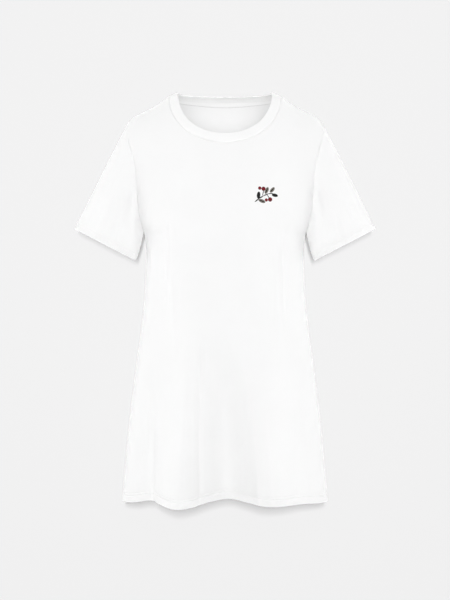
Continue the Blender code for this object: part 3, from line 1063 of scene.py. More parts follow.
@dataclass(frozen=True)
class Finish:
    """What every cloth and thread of the dress is given: its colour, its gloss and its sheen."""

    name: str
    color: tuple[float, float, float] = (0.90, 0.90, 0.90)
    roughness: float = 0.86
    specular: float = 0.25
    sheen: float = 0.20
    sheen_roughness: float = 0.5

    def start(self, groups: Groups) -> tuple[Graph, bpy.types.Node, bpy.types.Node, Socket, Socket]:
        """Make the material with its shader and its place on the cloth.

        Args:
            groups: The shared node groups.

        Returns:
            The graph, the shader, the unevenness of the yarn, and the places across and down the cloth.
        """
        material = bpy.data.materials.new(self.name)
        material.use_nodes = True
        graph = Graph(material.node_tree)
        shader = material.node_tree.nodes["Principled BSDF"]
        for key, value in (("Base Color", self.tint(1.0)), ("Roughness", self.roughness),
                           ("Specular IOR Level", self.specular), ("Sheen Weight", self.sheen),
                           ("Sheen Roughness", self.sheen_roughness)):
            graph.put(value, shader.inputs[key])
        place = graph.add("ShaderNodeTexCoord").outputs["Object"]
        fuzz = graph.feed("ShaderNodeGroup", {"Place": place}, node_tree=groups.fuzz)
        split = graph.add("ShaderNodeSeparateXYZ")
        graph.put(graph.add("ShaderNodeUVMap", uv_map="cloth").outputs["UV"], split.inputs[0])
        return graph, shader, fuzz, split.outputs[0], split.outputs[1]

    def tint(self, tone: float) -> Color:
        """Return the cloth's colour, made lighter or darker."""
        red, green, blue = self.color
        return red * tone, green * tone, blue * tone, 1.0

    def shade(self, graph: Graph, tone: Socket) -> Socket:
        """Return the cloth's colour at a share of its full brightness."""
        return graph.blend(tone, self.tint(0.0), self.tint(1.0))

    def uneven(self, graph: Graph, fuzz: bpy.types.Node, spread: float) -> Socket:
        """Return the roughness, a little more or less along the yarn."""
        return graph.ramp(fuzz.outputs["Yarn"], 0.2, 0.8, self.roughness - spread, self.roughness + spread)

    def emboss(self, graph: Graph, shader: bpy.types.Node, height: Socket,
               distance: float = MM) -> bpy.types.Material:
        """Give the material its fine relief.

        Args:
            graph: The material's graph.
            shader: Its shader.
            height: The relief's height.
            distance: How high a height of one is, in metres.

        Returns:
            The material.
        """
        bump = graph.feed("ShaderNodeBump", {"Distance": distance, "Strength": 1.0, "Height": height})
        graph.put(bump.outputs["Normal"], shader.inputs["Normal"])
        return bpy.data.materials[self.name]


@dataclass(frozen=True)
class JerseyFinish(Finish):
    """White single jersey, with its hem rows and, on the front, the small print."""

    wale: float = 1.1
    course: float = 0.9
    rows: tuple[float, float] = (14.5, 20.0)
    print_at: tuple[float, float] | None = None
    grey: tuple[float, float, float] = (0.19, 0.175, 0.15)
    black: tuple[float, float, float] = (0.004, 0.004, 0.004)
    red: tuple[float, float, float] = (0.16, 0.003, 0.010)

    def make(self, groups: Groups) -> bpy.types.Material:
        """Make the material.

        Args:
            groups: The shared node groups.

        Returns:
            The material.
        """
        graph, shader, fuzz, across, down = self.start(groups)
        knit = graph.feed("ShaderNodeGroup", {
            "Across": across, "Down": down, "Wale": self.wale * MM, "Course": self.course * MM,
        }, node_tree=groups.knit)
        edge = graph.add("ShaderNodeAttribute", attribute_name="edge").outputs["Fac"]
        low, high = self.rows
        pucker = graph.feed("ShaderNodeGroup", {
            "Across": across, "Edge": edge, "Lower Row": low * MM, "Upper Row": high * MM,
        }, node_tree=groups.pucker)
        tone = graph.ramp(fuzz.outputs["Tone"], 0.25, 0.75, 0.985, 1.0)
        # Painted shade: the colour is up to 5 percent darker in the gaps between the knit loops.
        color = self.shade(graph, graph.math("MULTIPLY_ADD", knit.outputs["Painted Gap Shade"], -0.05, tone))
        if self.print_at:
            color = self.printed(graph, color, across, down, groups)
        graph.put(color, shader.inputs["Base Color"])
        graph.put(self.uneven(graph, fuzz, 0.06), shader.inputs["Roughness"])
        loops = graph.math("MULTIPLY", knit.outputs["Height"], 0.10)
        yarn = graph.math("MULTIPLY_ADD", fuzz.outputs["Yarn"], 0.05, loops)
        lie = graph.math("MULTIPLY_ADD", fuzz.outputs["Lie"], 0.9, yarn)
        return self.emboss(graph, shader, graph.math("MULTIPLY_ADD", pucker.outputs["Height"], 0.55, lie))

    def printed(self, graph: Graph, color: Socket, across: Socket, down: Socket, groups: Groups) -> Socket:
        """Lay the print's inks over the cloth's colour, on the outer face alone.

        Args:
            graph: The material's graph.
            color: The cloth's colour.
            across: Place across the cloth.
            down: Place down the cloth.
            groups: The shared node groups.

        Returns:
            The colour with the print.
        """
        sprig = graph.feed("ShaderNodeGroup", {
            "Across": graph.math("SUBTRACT", across, self.print_at[0] * MM),
            "Up": graph.math("SUBTRACT", self.print_at[1] * MM, down),
        }, node_tree=groups.sprig)
        outside = graph.add("ShaderNodeAttribute", attribute_name="outside").outputs["Fac"]
        outside = graph.ramp(outside, 0.4, 0.6)
        for ink, tone in ((Ink.GREY, self.grey), (Ink.RED, self.red), (Ink.BLACK, self.black)):
            mask = graph.math("MULTIPLY", sprig.outputs[ink.value], outside)
            color = graph.blend(mask, color, (*tone, 1.0))
        return color


@dataclass(frozen=True)
class RibFinish(Finish):
    """White one-by-one rib, its ribs lying across the collar, with painted shade in the valleys between them.
    """

    rib: float = 2.3
    course: float = 1.1

    def make(self, groups: Groups) -> bpy.types.Material:
        """Make the material.

        Args:
            groups: The shared node groups.

        Returns:
            The material.
        """
        graph, shader, fuzz, across, down = self.start(groups)
        rib = graph.wave(graph.math("MULTIPLY", across, 2.0 * math.pi / (self.rib * MM)))
        rib = graph.math("POWER", rib, 0.7)
        stitch = graph.math("COSINE", graph.math("MULTIPLY", down, 2.0 * math.pi / (self.course * MM)))
        chain = graph.math("MULTIPLY_ADD", stitch, 0.12, rib)
        tone = graph.ramp(fuzz.outputs["Tone"], 0.25, 0.75, 0.985, 1.0)
        # Painted shade: the colour is up to 7 percent darker in the valleys between the ribs.
        tone_with_valley_shade = graph.math("MULTIPLY_ADD", graph.math("SUBTRACT", 1.0, rib), -0.07, tone)
        graph.put(self.shade(graph, tone_with_valley_shade), shader.inputs["Base Color"])
        graph.put(self.uneven(graph, fuzz, 0.05), shader.inputs["Roughness"])
        relief = graph.math("MULTIPLY", chain, 0.22)
        return self.emboss(graph, shader, graph.math("MULTIPLY_ADD", fuzz.outputs["Yarn"], 0.05, relief))


@dataclass(frozen=True)
class TapeFinish(Finish):
    """White woven tape with a fine twill line, its grooves painted a little darker as shade."""

    twill: float = 0.9

    def make(self, groups: Groups) -> bpy.types.Material:
        """Make the material.

        Args:
            groups: The shared node groups.

        Returns:
            The material.
        """
        graph, shader, fuzz, across, down = self.start(groups)
        slant = graph.math("ADD", across, down)
        line = graph.wave(graph.math("MULTIPLY", slant, 2.0 * math.pi / (self.twill * MM)))
        # Painted shade: the colour is up to 4 percent darker in the twill's grooves, where the relief is low.
        tone = graph.math("MULTIPLY_ADD", line, 0.04, 0.96)
        graph.put(self.shade(graph, tone), shader.inputs["Base Color"])
        relief = graph.math("MULTIPLY", line, 0.08)
        return self.emboss(graph, shader, graph.math("MULTIPLY_ADD", fuzz.outputs["Yarn"], 0.04, relief))


@dataclass(frozen=True)
class ThreadFinish(Finish):
    """Polyester sewing thread, a little glossier than the cloth."""

    twist: float = 0.45
    twist_height: float = 0.05

    def make(self, groups: Groups) -> bpy.types.Material:
        """Make the material.

        Args:
            groups: The shared node groups.

        Returns:
            The material.
        """
        graph, shader, fuzz, _, _ = self.start(groups)
        tone = graph.ramp(fuzz.outputs["Yarn"], 0.2, 0.8, 0.94, 1.0)
        graph.put(self.shade(graph, tone), shader.inputs["Base Color"])
        place = graph.add("ShaderNodeTexCoord").outputs["Object"]
        wave = graph.noise(place, 1.0 / (self.twist * MM), 1.0)
        return self.emboss(graph, shader, wave, self.twist_height * MM)


@dataclass
class Panel:
    """The front or the back of the body, from the neckline and shoulders to the hem.

    `by_neck` and `by_sides` are the places of the first rows and columns beside the neckline and the side
    edges, in rows and in radians, and `filled` the shares at which columns are added in the outermost cells.
    """

    cut: SideCut
    creases: tuple[Crease, ...]
    name: str
    node: str
    hem: Hem = Hem(20.0, (14.5, 20.0), (-1.3, -0.6, 0.0, 0.6, 1.3), (8.0, 11.0, 23.5, 27.0))
    wall: float = 0.9
    arm_seam: float = 1.0
    side_seam: float = 0.4
    neck_seam: float = 0.95
    neck_width: float = 1.9
    seam_width: float = 1.3
    seam_hold: float = 12.0
    half_columns: int = 84
    shoulder_rows: int = 13
    yoke_rows: int = 39
    skirt_rows: int = 96
    skirt_start: float = 31.0
    by_neck: tuple[float, ...] = (0.0, 0.03, 0.07, 0.12, 0.19, 0.28, 0.40)
    neck_end: float = 0.6
    by_sides: tuple[float, ...] = (0.0022, 0.0055, 0.0100)
    filled: tuple[float, ...] = (0.03, 0.08, 0.16, 0.26, 0.38, 0.50, 0.62, 0.74, 0.86)
    flat_steps: int = 25

    def columns(self) -> Array:
        """Space the columns, closer together by the side edges.

        Returns:
            The angle of each column.
        """
        even = np.linspace(-0.5 * np.pi, 0.5 * np.pi, 2 * self.half_columns + 1)
        near = np.array(self.by_sides)
        return np.unique(np.concatenate([even, 0.5 * np.pi - near, near - 0.5 * np.pi]))

    def fill_in(self, grid: Array) -> Array:
        """Add columns to a grid of values beside each side edge, where the shoulder's first cells are wide.

        Args:
            grid: One value for each row and column.

        Returns:
            The wider grid.
        """
        parts = np.array(self.filled)[None, :]
        first = grid[:, :1] + (grid[:, 1:2] - grid[:, :1]) * parts
        last = grid[:, -1:] + (grid[:, -2:-1] - grid[:, -1:]) * parts[:, ::-1]
        return np.concatenate([grid[:, :1], first, grid[:, 1:-1], last, grid[:, -1:]], axis=1)

    def yoke_steps(self) -> Array:
        """Space the yoke's rows, closer together by the neckline, with one on the shoulder point.

        Returns:
            The place of each row.
        """
        shoulder, last = BODY.seam_rows, BODY.seam_rows + BODY.arm_rows
        return np.concatenate([self.by_neck, np.linspace(self.neck_end, shoulder, self.shoulder_rows),
                               np.linspace(shoulder, last, self.yoke_rows)[1:]])

    def skirt_steps(self) -> Array:
        """Space the skirt's rows, closer together by the stitches and the edge.

        Returns:
            Each row's share of the way to the hem.
        """
        length = BODY.underarm_z - BODY.hem_z
        even = np.linspace(self.skirt_start, length, self.skirt_rows)[:-1]
        return 1.0 - np.sort(np.concatenate([self.hem.places(), even]))[::-1] / length

    def flat_places(self, share: Array, s: Array) -> tuple[Array, Array]:
        """Return where yoke points lie on the flat cut.

        Args:
            share: Their shares of the width.
            s: Their s.

        Returns:
            The places across, from the middle, and down, from the underarm's height.
        """
        z = BODY.yoke(self.cut, share, s)[..., 2]
        parts = np.linspace(0.0, 1.0, self.flat_steps)
        way = share[..., None] * parts
        top = BODY.ridge.at(BODY.shoulder_x * np.abs(way))
        level = np.clip((z[..., None] - BODY.underarm_z) / (top - BODY.underarm_z), 0.0, 1.0)
        line = BODY.yoke(self.cut, way, np.arccos(level) / (0.5 * np.pi))
        across = np.linalg.norm(np.diff(line, axis=-2), axis=-1).sum(axis=-1) * np.sign(share)
        climb = s[..., None] + (1.0 - s[..., None]) * parts
        line = BODY.yoke(self.cut, np.broadcast_to(share[..., None], climb.shape), climb)
        return across, -np.linalg.norm(np.diff(line, axis=-2), axis=-1).sum(axis=-1)

    def lay(self) -> Cloth:
        """Lay the panel out as a grid, with its creases.

        Returns:
            The panel.
        """
        angles = self.columns()
        share, s = (self.fill_in(grid) for grid in BODY.yoke_rows(self.cut, angles, self.yoke_steps()))
        yoke = BODY.yoke(self.cut, share, s)
        across, down = self.flat_places(share, s)
        skirt = BODY.skirt(self.cut, self.fill_in(np.sin(angles)[None, :]), self.skirt_steps()[1:, None])
        run = run_along(skirt, 1)
        run = run - run[:, run.shape[1] // 2][:, None]
        drop = run_along(np.concatenate([yoke[-1:], skirt]), 0)[1:]
        gap = np.array((0.0, 0.5 * BODY.seam_gap * self.cut.side.value, 0.0))
        points = np.concatenate([yoke, skirt]) + gap
        middle = np.array((0.0, 0.0, BODY.underarm_z))
        cloth = Cloth.lay(points, middle, False, np.concatenate([across, run]),
                          np.concatenate([down, drop]), self.wall)
        beside = np.clip(cloth.from_sides() / self.seam_hold, 0.0, 1.0)
        below = np.clip(cloth.from_top() / self.seam_hold, 0.0, 1.0)
        cloth.crease(self.creases, points[..., 2], points[..., 0], beside * below, middle)
        return cloth

    def sew(self, cloth: Cloth, arm_middles: dict[Hand, Array]) -> None:
        """Draw the panel in at its seams and stitches, and turn its hem.

        Args:
            cloth: The panel.
            arm_middles: The middle of each armhole.
        """
        first = len(cloth.points) - len(self.skirt_steps()) + 1
        shoulder = int(np.searchsorted(self.yoke_steps(), BODY.seam_rows - 1e-9))
        for col in (0, -1):
            cloth.into[:shoulder, col, 1] = 0.0
            cloth.into[first:, col, 1] = 0.0
        cloth.into = unit(cloth.into)
        for hand, col in ((Hand.RIGHT, 0), (Hand.LEFT, -1)):
            cloth.into[shoulder:first, col] = unit(arm_middles[hand] - cloth.points[shoulder:first, col])
        wide = len(self.filled) + 1
        for k in range(1, wide):
            part = k / wide
            for col, near, far in ((k, 0, wide), (-1 - k, -1, -1 - wide)):
                at_edge, past = cloth.into[shoulder:, near], cloth.into[shoulder:, far]
                cloth.into[shoulder:, col] = (1.0 - part) * at_edge + part * past
        cloth.into = unit(cloth.into)
        depth = np.full((len(cloth.points), 1), self.side_seam)
        depth[shoulder:first] = self.arm_seam
        cloth.sink = cloth.sink + groove(cloth.from_sides(), depth, self.seam_width)
        pull = self.neck_seam * sag(cloth.points[0, :, 2])
        cloth.sink = cloth.sink + groove(cloth.from_top(), pull, self.neck_width)
        self.hem.turn(cloth, self.wall)


@dataclass
class Sleeve:
    """A short set-in sleeve, from the armhole to its turned cuff.

    The cuff is an oval round `middle`, `half` high towards `up` and `deep` to the front and the back, and the
    cloth leaves it towards `along`. `lift` turns the cloth outwards at the armhole, and `fill` rounds it on
    the way.
    """

    hand: Hand
    creases: tuple[Crease, ...]
    name: str
    node: str
    hem: Hem = Hem(16.0, (10.5, 16.0), (-1.2, -0.6, 0.0, 0.6, 1.2), (7.6,))
    middle: tuple[float, float, float] = (261.4, 0.0, -331.0)
    up: tuple[float, float, float] = (0.888, 0.0, 0.460)
    half: float = 75.1
    deep: float = 45.0
    along: tuple[float, float, float] = (0.454, 0.0, -0.891)
    run: float = 135.0
    lift: float = 0.25
    fill: float = 7.0
    fill_shape: float = 1.5
    wall: float = 0.9
    seam_depth: float = 1.1
    seam_width: float = 1.3
    seam_hold: float = 8.0
    half_columns: int = 84
    even_start: float = 20.0
    even_rings: int = 46
    by_armhole: tuple[float, ...] = (0.0, 0.4, 0.9, 1.6, 2.6)
    even_end: float = 5.0

    def steps(self) -> Array:
        """Space the rings, closer together by the armhole, the stitches and the edge.

        Returns:
            Each ring's share of the way to the cuff.
        """
        even = np.linspace(self.even_start, self.run - self.even_end, self.even_rings)
        top = self.run - np.array(self.by_armhole)
        return 1.0 - np.sort(np.concatenate([self.hem.places(), even, top]))[::-1] / self.run

    def rim(self) -> Array:
        """Find the edge of the left armhole.

        Returns:
            Its points, down the front and up the back.
        """
        s = BODY.armhole_steps(self.half_columns)
        front = BODY.yoke(FRONT_CUT, np.ones_like(s), s)
        back = BODY.yoke(BACK_CUT, np.ones_like(s), s)
        return np.concatenate([front, back[-2:0:-1]])

    def arm_middle(self) -> Array:
        """Return the middle of the sleeve's own armhole."""
        return self.rim().mean(axis=0) * np.array((self.hand.value, 1.0, 1.0))

    def lay(self) -> Cloth:
        """Lay the sleeve out as rings, with its creases.

        Returns:
            The sleeve.
        """
        arm = self.rim()
        angles = np.linspace(0.0, 2.0 * np.pi, len(arm), endpoint=False)
        turn = angles[:, None]
        cuff = np.array(self.middle) + np.array(self.up) * self.half * np.cos(turn)
        cuff = cuff - np.array((0.0, self.deep, 0.0)) * np.sin(turn)
        reach = cuff - arm
        length = np.linalg.norm(reach, axis=1, keepdims=True)
        first = unit(unit(reach) + np.array((self.lift, 0.0, 0.0)) * np.abs(np.sin(turn)))
        w = self.steps()[:, None, None]
        rings = (1.0 + 2.0 * w) * (1.0 - w) ** 2 * arm + w * w * (3.0 - 2.0 * w) * cuff
        rings = rings + w * (1.0 - w) ** 2 * length * first
        rings = rings - w * w * (1.0 - w) * length * np.array(self.along)
        filled = self.fill * np.maximum(np.sin(np.pi * w), 0.0) ** self.fill_shape
        rings = rings - np.array((0.0, 1.0, 0.0)) * filled * np.sin(turn)
        mirror = np.array((self.hand.value, 1.0, 1.0))
        points = rings * mirror
        points[0] = points[0] + first * mirror * (BODY.seam_gap + JOIN_GAP)
        middle = points.mean(axis=1, keepdims=True)
        loop = np.concatenate([points, points[:, :1]], axis=1)
        across = run_along(loop, 1)
        across = across - across[:, len(arm) // 2][:, None]
        cloth = Cloth.lay(points, middle, True, across, run_along(loop, 0), self.wall)
        along, round_it = np.meshgrid(self.steps(), angles, indexing="ij")
        below = np.clip(cloth.from_top() / self.seam_hold, 0.0, 1.0)
        cloth.crease(self.creases, along, round_it, below, middle)
        return cloth

    def sew(self, cloth: Cloth) -> None:
        """Draw the sleeve in at the armhole and the stitches, and turn its hem.

        Args:
            cloth: The sleeve.
        """
        cloth.into[0] = unit(self.arm_middle() - cloth.points[0])
        cloth.sink = cloth.sink + groove(cloth.from_top(), self.seam_depth, self.seam_width)
        self.hem.turn(cloth, self.wall)


@dataclass
class Collar:
    """The rib collar, from the neckline seam up to its folded edge.

    `drop` is how deep the folded edge dips and `lean` how far it stands in from the seam, in front, at the
    back and beside the neck. `by_edge`, `even_from` and `by_seam` space the rings, in millimetres from either
    edge.
    """

    name: str = "rib_collar"
    node: str = "collar"
    edge_half: float = 102.0
    edge_z: float = 1.5
    edge_bow: float = 2.15
    front_drop: float = 95.5
    back_drop: float = 5.0
    front_lean: float = 9.0
    back_lean: float = 17.0
    side_lean: float = 2.0
    roll: float = 1.2
    wall: float = 1.9
    seam_depth: float = 0.9
    seam_width: float = 1.4
    least_step: float = 0.7
    rib: float = 2.3
    by_edge: tuple[float, ...] = (0.0, 0.1, 0.3, 0.6, 1.0, 1.6, 2.6)
    even_from: float = 4.0
    even_rings: int = 12
    by_seam: tuple[float, ...] = (2.6, 1.6, 1.0, 0.5, 0.0)

    def edge(self, seam: Array, side: Side) -> Array:
        """Find the folded edge above the neckline.

        Args:
            seam: Points of the neckline.
            side: The side of the body that they are on.

        Returns:
            The point of the edge above each.
        """
        lean, drop = self.back_lean, self.back_drop
        if side is Side.FRONT:
            lean, drop = self.front_lean, self.front_drop
        across = np.minimum(np.abs(seam[:, 0]) / BODY.neck_half, 1.0)
        rise = (1.0 - across**self.edge_bow) ** (1.0 / self.edge_bow)
        x = np.copysign(self.edge_half * across, seam[:, 0])
        y = seam[:, 1] - side.value * lean * rise - self.side_lean * (1.0 - rise)
        return np.stack([x, y, self.edge_z - drop * rise], axis=1)

    def lay(self, front: Cloth, back: Cloth) -> Cloth:
        """Lay the collar on both panels' necklines.

        Args:
            front: The front panel.
            back: The back panel.

        Returns:
            The collar, its rings from the folded edge down to the seam.
        """
        seams, edges, below = [], [], []
        for side, cloth, row in ((Side.FRONT, front, slice(None)), (Side.BACK, back, slice(-2, 0, -1))):
            seam = cloth.points[0, row].copy()
            flat = np.abs(seam[:, 0]) > BODY.neck_half - 1e-6
            seam[flat, 1] -= 0.5 * BODY.seam_gap * side.value
            seams.append(seam)
            edges.append(self.edge(seam, side))
            below.append(cloth.into[0, row])
        seam, edge, into = np.concatenate(seams), np.concatenate(edges), np.concatenate(below)
        kept = [0]
        for k in range(1, len(seam)):
            if np.linalg.norm(seam[k] - seam[kept[-1]]) > self.least_step:
                kept.append(k)
        seam, edge, into = seam[kept], edge[kept], into[kept]
        seam = seam + unit(edge - seam) * (BODY.seam_gap + JOIN_GAP)
        wide = np.linalg.norm(edge - seam, axis=1).max()
        even = np.linspace(self.even_from / wide, 1.0 - self.even_from / wide, self.even_rings)
        share = np.concatenate([np.array(self.by_edge) / wide, even, 1.0 - np.array(self.by_seam) / wide])
        share = share[:, None, None]
        points = edge * (1.0 - share) + seam * share - into * self.roll * 2.0 * share * (1.0 - share)
        middle = points.mean(axis=1, keepdims=True)
        round_it = run_along(np.concatenate([seam, seam[:1]])[None], 1)
        count = round(float(round_it[0, -1]) / self.rib)
        round_it = round_it * (count * self.rib / round_it[0, -1])
        across = np.broadcast_to(round_it, (len(share), len(seam) + 1))
        down = run_along(np.concatenate([points, points[:, :1]], axis=1), 0)
        return Cloth.lay(points, middle, True, across, down, self.wall)

    def sew(self, cloth: Cloth) -> None:
        """Fold the edge over and draw the collar in at the seam.

        Args:
            cloth: The collar.
        """
        bend = fold_over(cloth.from_top(), self.wall)
        pull = self.seam_depth * sag(cloth.points[-1, :, 2])
        cloth.sink = bend + groove(cloth.from_edge(), pull, self.seam_width)
        cloth.wall = self.wall - 2.0 * bend


@dataclass
class NeckTape:
    """The tape over the back neck seam, on the inner face of the back.

    `start` is how far below the seam it begins, `places` where its mesh has rows, `rows` where it is sewn,
    `shadow_line_row` where a row of pale grey stitches runs below it, their grey a painted shadow line under
    the tape's lower edge, and `behind` a point on the far side of the back.
    """

    name: str = "back_neck_tape"
    node: str = "neck_tape"
    start: float = 0.5
    places: tuple[float, ...] = (0.0, 0.15, 0.4, 1.0, 3.0, 5.0, 7.0, 9.0, 9.6, 9.85, 10.0)
    gap: float = 0.35
    wall: float = 0.7
    round_edge: float = 0.5
    edge_wall: float = 0.35
    rows: tuple[float, ...] = (1.4, 8.8)
    shadow_line_row: float = 12.2
    behind: tuple[float, float, float] = (0.0, 400.0, 100.0)

    def lay(self, back: Cloth) -> Cloth:
        """Lay the tape along the back panel's inner face.

        Args:
            back: The back panel, sewn.

        Returns:
            The tape.
        """
        points = np.array([back.trace(self.start + place, True, inside=True, lift=self.gap)[0][1:-1]
                           for place in self.places])
        cloth = Cloth.lay(points, np.array(self.behind), False, run_along(points, 1), run_along(points, 0),
                          self.wall)
        cloth.into = -cloth.into
        return cloth

    def sew(self, cloth: Cloth) -> None:
        """Round the tape's two edges.

        Args:
            cloth: The tape.
        """
        near = np.minimum(cloth.from_top(), cloth.from_edge())
        cloth.wall = self.wall * (self.edge_wall + (1.0 - self.edge_wall) * ease(near / self.round_edge))


def stitch_tree() -> bpy.types.NodeTree:
    """Build the geometry node tree that sets stitches along a path.

    The path is a mesh of edges whose points carry the direction off the cloth in the attribute `off_cloth`.
    Each stitch is a small stretched ball, its length a little uneven.

    Returns:
        The tree.
    """
    tree = bpy.data.node_groups.new("row of stitches", "GeometryNodeTree")
    for key, way, kind in (("Geometry", "INPUT", "Geometry"), ("Pitch", "INPUT", "Float"),
                           ("Length", "INPUT", "Float"), ("Width", "INPUT", "Float"),
                           ("Height", "INPUT", "Float"), ("Thread", "INPUT", "Material"),
                           ("Geometry", "OUTPUT", "Geometry")):
        tree.interface.new_socket(key, in_out=way, socket_type="NodeSocket" + kind)
    graph = Graph(tree)
    source = graph.add("NodeGroupInput").outputs
    curve = graph.feed("GeometryNodeMeshToCurve", {"Mesh": source["Geometry"]})
    even = graph.feed("GeometryNodeResampleCurve", {
        "Curve": curve.outputs["Curve"], "Length": source["Pitch"]}, mode="LENGTH")
    tangent = graph.add("GeometryNodeInputTangent")
    off = graph.feed("GeometryNodeInputNamedAttribute", {"Name": "off_cloth"}, data_type="FLOAT_VECTOR")
    lengthwise = graph.feed("FunctionNodeAlignRotationToVector", {
        "Vector": tangent.outputs["Tangent"]}, axis="X")
    upright = graph.feed("FunctionNodeAlignRotationToVector", {
        "Rotation": lengthwise.outputs["Rotation"], "Vector": off.outputs["Attribute"]},
        axis="Z", pivot_axis="X")
    ball = graph.feed("GeometryNodeMeshUVSphere", {"Segments": 6, "Rings": 4, "Radius": 0.5})
    vary = graph.feed("FunctionNodeRandomValue", {"Min": 0.9, "Max": 1.06, "Seed": 7}, data_type="FLOAT")
    varied = next(socket for socket in vary.outputs if socket.enabled)
    size = graph.feed("ShaderNodeCombineXYZ", {
        "X": graph.math("MULTIPLY", source["Length"], varied), "Y": source["Width"], "Z": source["Height"]})
    stitches = graph.feed("GeometryNodeInstanceOnPoints", {
        "Points": even.outputs["Curve"], "Instance": ball.outputs["Mesh"],
        "Rotation": upright.outputs["Rotation"], "Scale": size.outputs["Vector"]})
    real = graph.feed("GeometryNodeRealizeInstances", {"Geometry": stitches.outputs["Instances"]})
    smooth = graph.feed("GeometryNodeSetShadeSmooth", {"Geometry": real.outputs["Geometry"]})
    dressed = graph.feed("GeometryNodeSetMaterial", {
        "Geometry": smooth.outputs["Geometry"], "Material": source["Thread"]})
    graph.feed("NodeGroupOutput", {"Geometry": dressed.outputs["Geometry"]})
    return tree


@dataclass(frozen=True)
class Stitching:
    """Rows of stitches along paths on the cloth, all of one piece; the sizes are those of one stitch."""

    name: str
    pitch: float = 3.1
    length: float = 2.5
    width: float = 0.55
    height: float = 0.42

    def sew(self, paths: list[tuple[Array, Array]], closed: bool, tree: bpy.types.NodeTree,
            thread: bpy.types.Material) -> bpy.types.Object:
        """Set the stitches and put them into the scene.

        Args:
            paths: The points and the directions off the cloth of each row.
            closed: Whether the rows are rings.
            tree: The geometry node tree for stitches.
            thread: The thread's material.

        Returns:
            The piece with all rows.
        """
        points: list[list[float]] = []
        ups: list[float] = []
        edges: list[tuple[int, int]] = []
        for path, off in paths:
            start = len(points)
            points.extend((path * MM).tolist())
            ups.extend(off.ravel().tolist())
            edges.extend((start + k, start + k + 1) for k in range(len(path) - 1))
            if closed:
                edges.append((start + len(path) - 1, start))
        mesh = bpy.data.meshes.new(self.name + "_path")
        mesh.from_pydata(points, edges, [])
        mesh.attributes.new("off_cloth", "FLOAT_VECTOR", "POINT").data.foreach_set("vector", ups)
        path_object = bpy.data.objects.new(self.name + "_path", mesh)
        bpy.context.scene.collection.objects.link(path_object)
        row = path_object.modifiers.new("stitches", "NODES")
        row.node_group = tree
        values = {"Pitch": self.pitch * MM, "Length": self.length * MM, "Width": self.width * MM,
                  "Height": self.height * MM, "Thread": thread}
        for item in tree.interface.items_tree:
            if item.in_out == "INPUT" and item.name in values:
                row[item.identifier] = values[item.name]
        evaluated = path_object.evaluated_get(bpy.context.evaluated_depsgraph_get())
        sewn = bpy.data.meshes.new_from_object(evaluated)
        sewn.name = self.name
        bpy.data.objects.remove(path_object)
        return show(self.name, sewn, thread, None, "thread")


@dataclass(frozen=True)
class Fill:
    """A wide even light from far away.

    `tilt` is how far it is tilted from straight down, `turn` how far it is then turned about the vertical and
    `spread` how wide it is, in degrees, and `share` the brightness that it alone gives to a white face turned
    to it.
    """

    name: str
    tilt: float
    spread: float
    share: float
    shadows: bool
    turn: float = 0.0

    def light(self) -> bpy.types.Object:
        """Add the light.

        Returns:
            The light.
        """
        data = bpy.data.lights.new(self.name, "SUN")
        data.energy = self.share * math.pi
        data.angle = math.radians(self.spread)
        data.use_shadow = self.shadows
        data.cycles.use_multiple_importance_sampling = self.shadows
        return stand(data, (0.0, 0.0, 0.0), (math.radians(self.tilt), 0.0, math.radians(self.turn)))


@dataclass(frozen=True)
class Pool:
    """A small soft round pool of light from the front.

    `height` is its z, `target` the z that it is aimed at, `spread` how wide it is in degrees, `share` the
    brightness that it alone gives to a white face turned to it and `beside` its x and its target's. `away` is
    how far in front it stands, `reach` how far its target is from it and `soft` its radius. `watts` is the
    power that gives such a face a brightness of one.
    """

    name: str
    height: float
    target: float
    spread: float
    share: float
    beside: float = 0.0
    away: float = 3.0
    reach: float = 3.1
    watts: float = 4.0 * 9.6 * math.pi**2
    soft: float = 0.05

    def light(self) -> bpy.types.Object:
        """Add the light.

        Returns:
            The light.
        """
        data = bpy.data.lights.new(self.name, "SPOT")
        data.energy = self.share * self.watts
        data.spot_size = math.radians(self.spread)
        data.spot_blend = 1.0
        data.shadow_soft_size = self.soft
        tilt = math.atan2(self.reach, self.height - self.target)
        return stand(data, (self.beside, -self.away, self.height), (tilt, 0.0, 0.0))


@dataclass(frozen=True)
class Lamp:
    """A soft rectangular light at a place, turned to a target.

    `size` is its width and height, and `share` the brightness that it alone gives to a white face at the
    target that is turned to it.
    """

    name: str
    place: tuple[float, float, float]
    target: tuple[float, float, float]
    size: tuple[float, float]
    share: float

    def light(self) -> bpy.types.Object:
        """Add the light.

        Returns:
            The light.
        """
        way = np.array(self.target) - np.array(self.place)
        flat = math.hypot(way[0], way[1])
        data = bpy.data.lights.new(self.name, "AREA")
        data.shape = "RECTANGLE"
        data.size, data.size_y = self.size
        data.energy = self.share * math.pi**2 * float(way @ way)
        heading = math.atan2(way[1], way[0]) - math.radians(90.0)
        return stand(data, self.place, (math.atan2(flat, -way[2]), 0.0, heading))


def stand(data: bpy.types.ID, place: tuple[float, float, float],
          turn: tuple[float, float, float]) -> bpy.types.Object:
    """Put a light or a camera into the scene.

    Args:
        data: The light or camera.
        place: Where it stands, in metres.
        turn: How it is turned, in radians.

    Returns:
        Its object.
    """
    thing = bpy.data.objects.new(data.name, data)
    thing.location = place
    thing.rotation_euler = turn
    bpy.context.scene.collection.objects.link(thing)
    return thing


def pick(name: str, pieces: list[bpy.types.Object]) -> bpy.types.Collection:
    """Collect some pieces, for a light that concerns them alone.

    Args:
        name: Name of the collection.
        pieces: The pieces.

    Returns:
        The collection.
    """
    picked = bpy.data.collections.new(name)
    for piece in pieces:
        picked.objects.link(piece)
    return picked


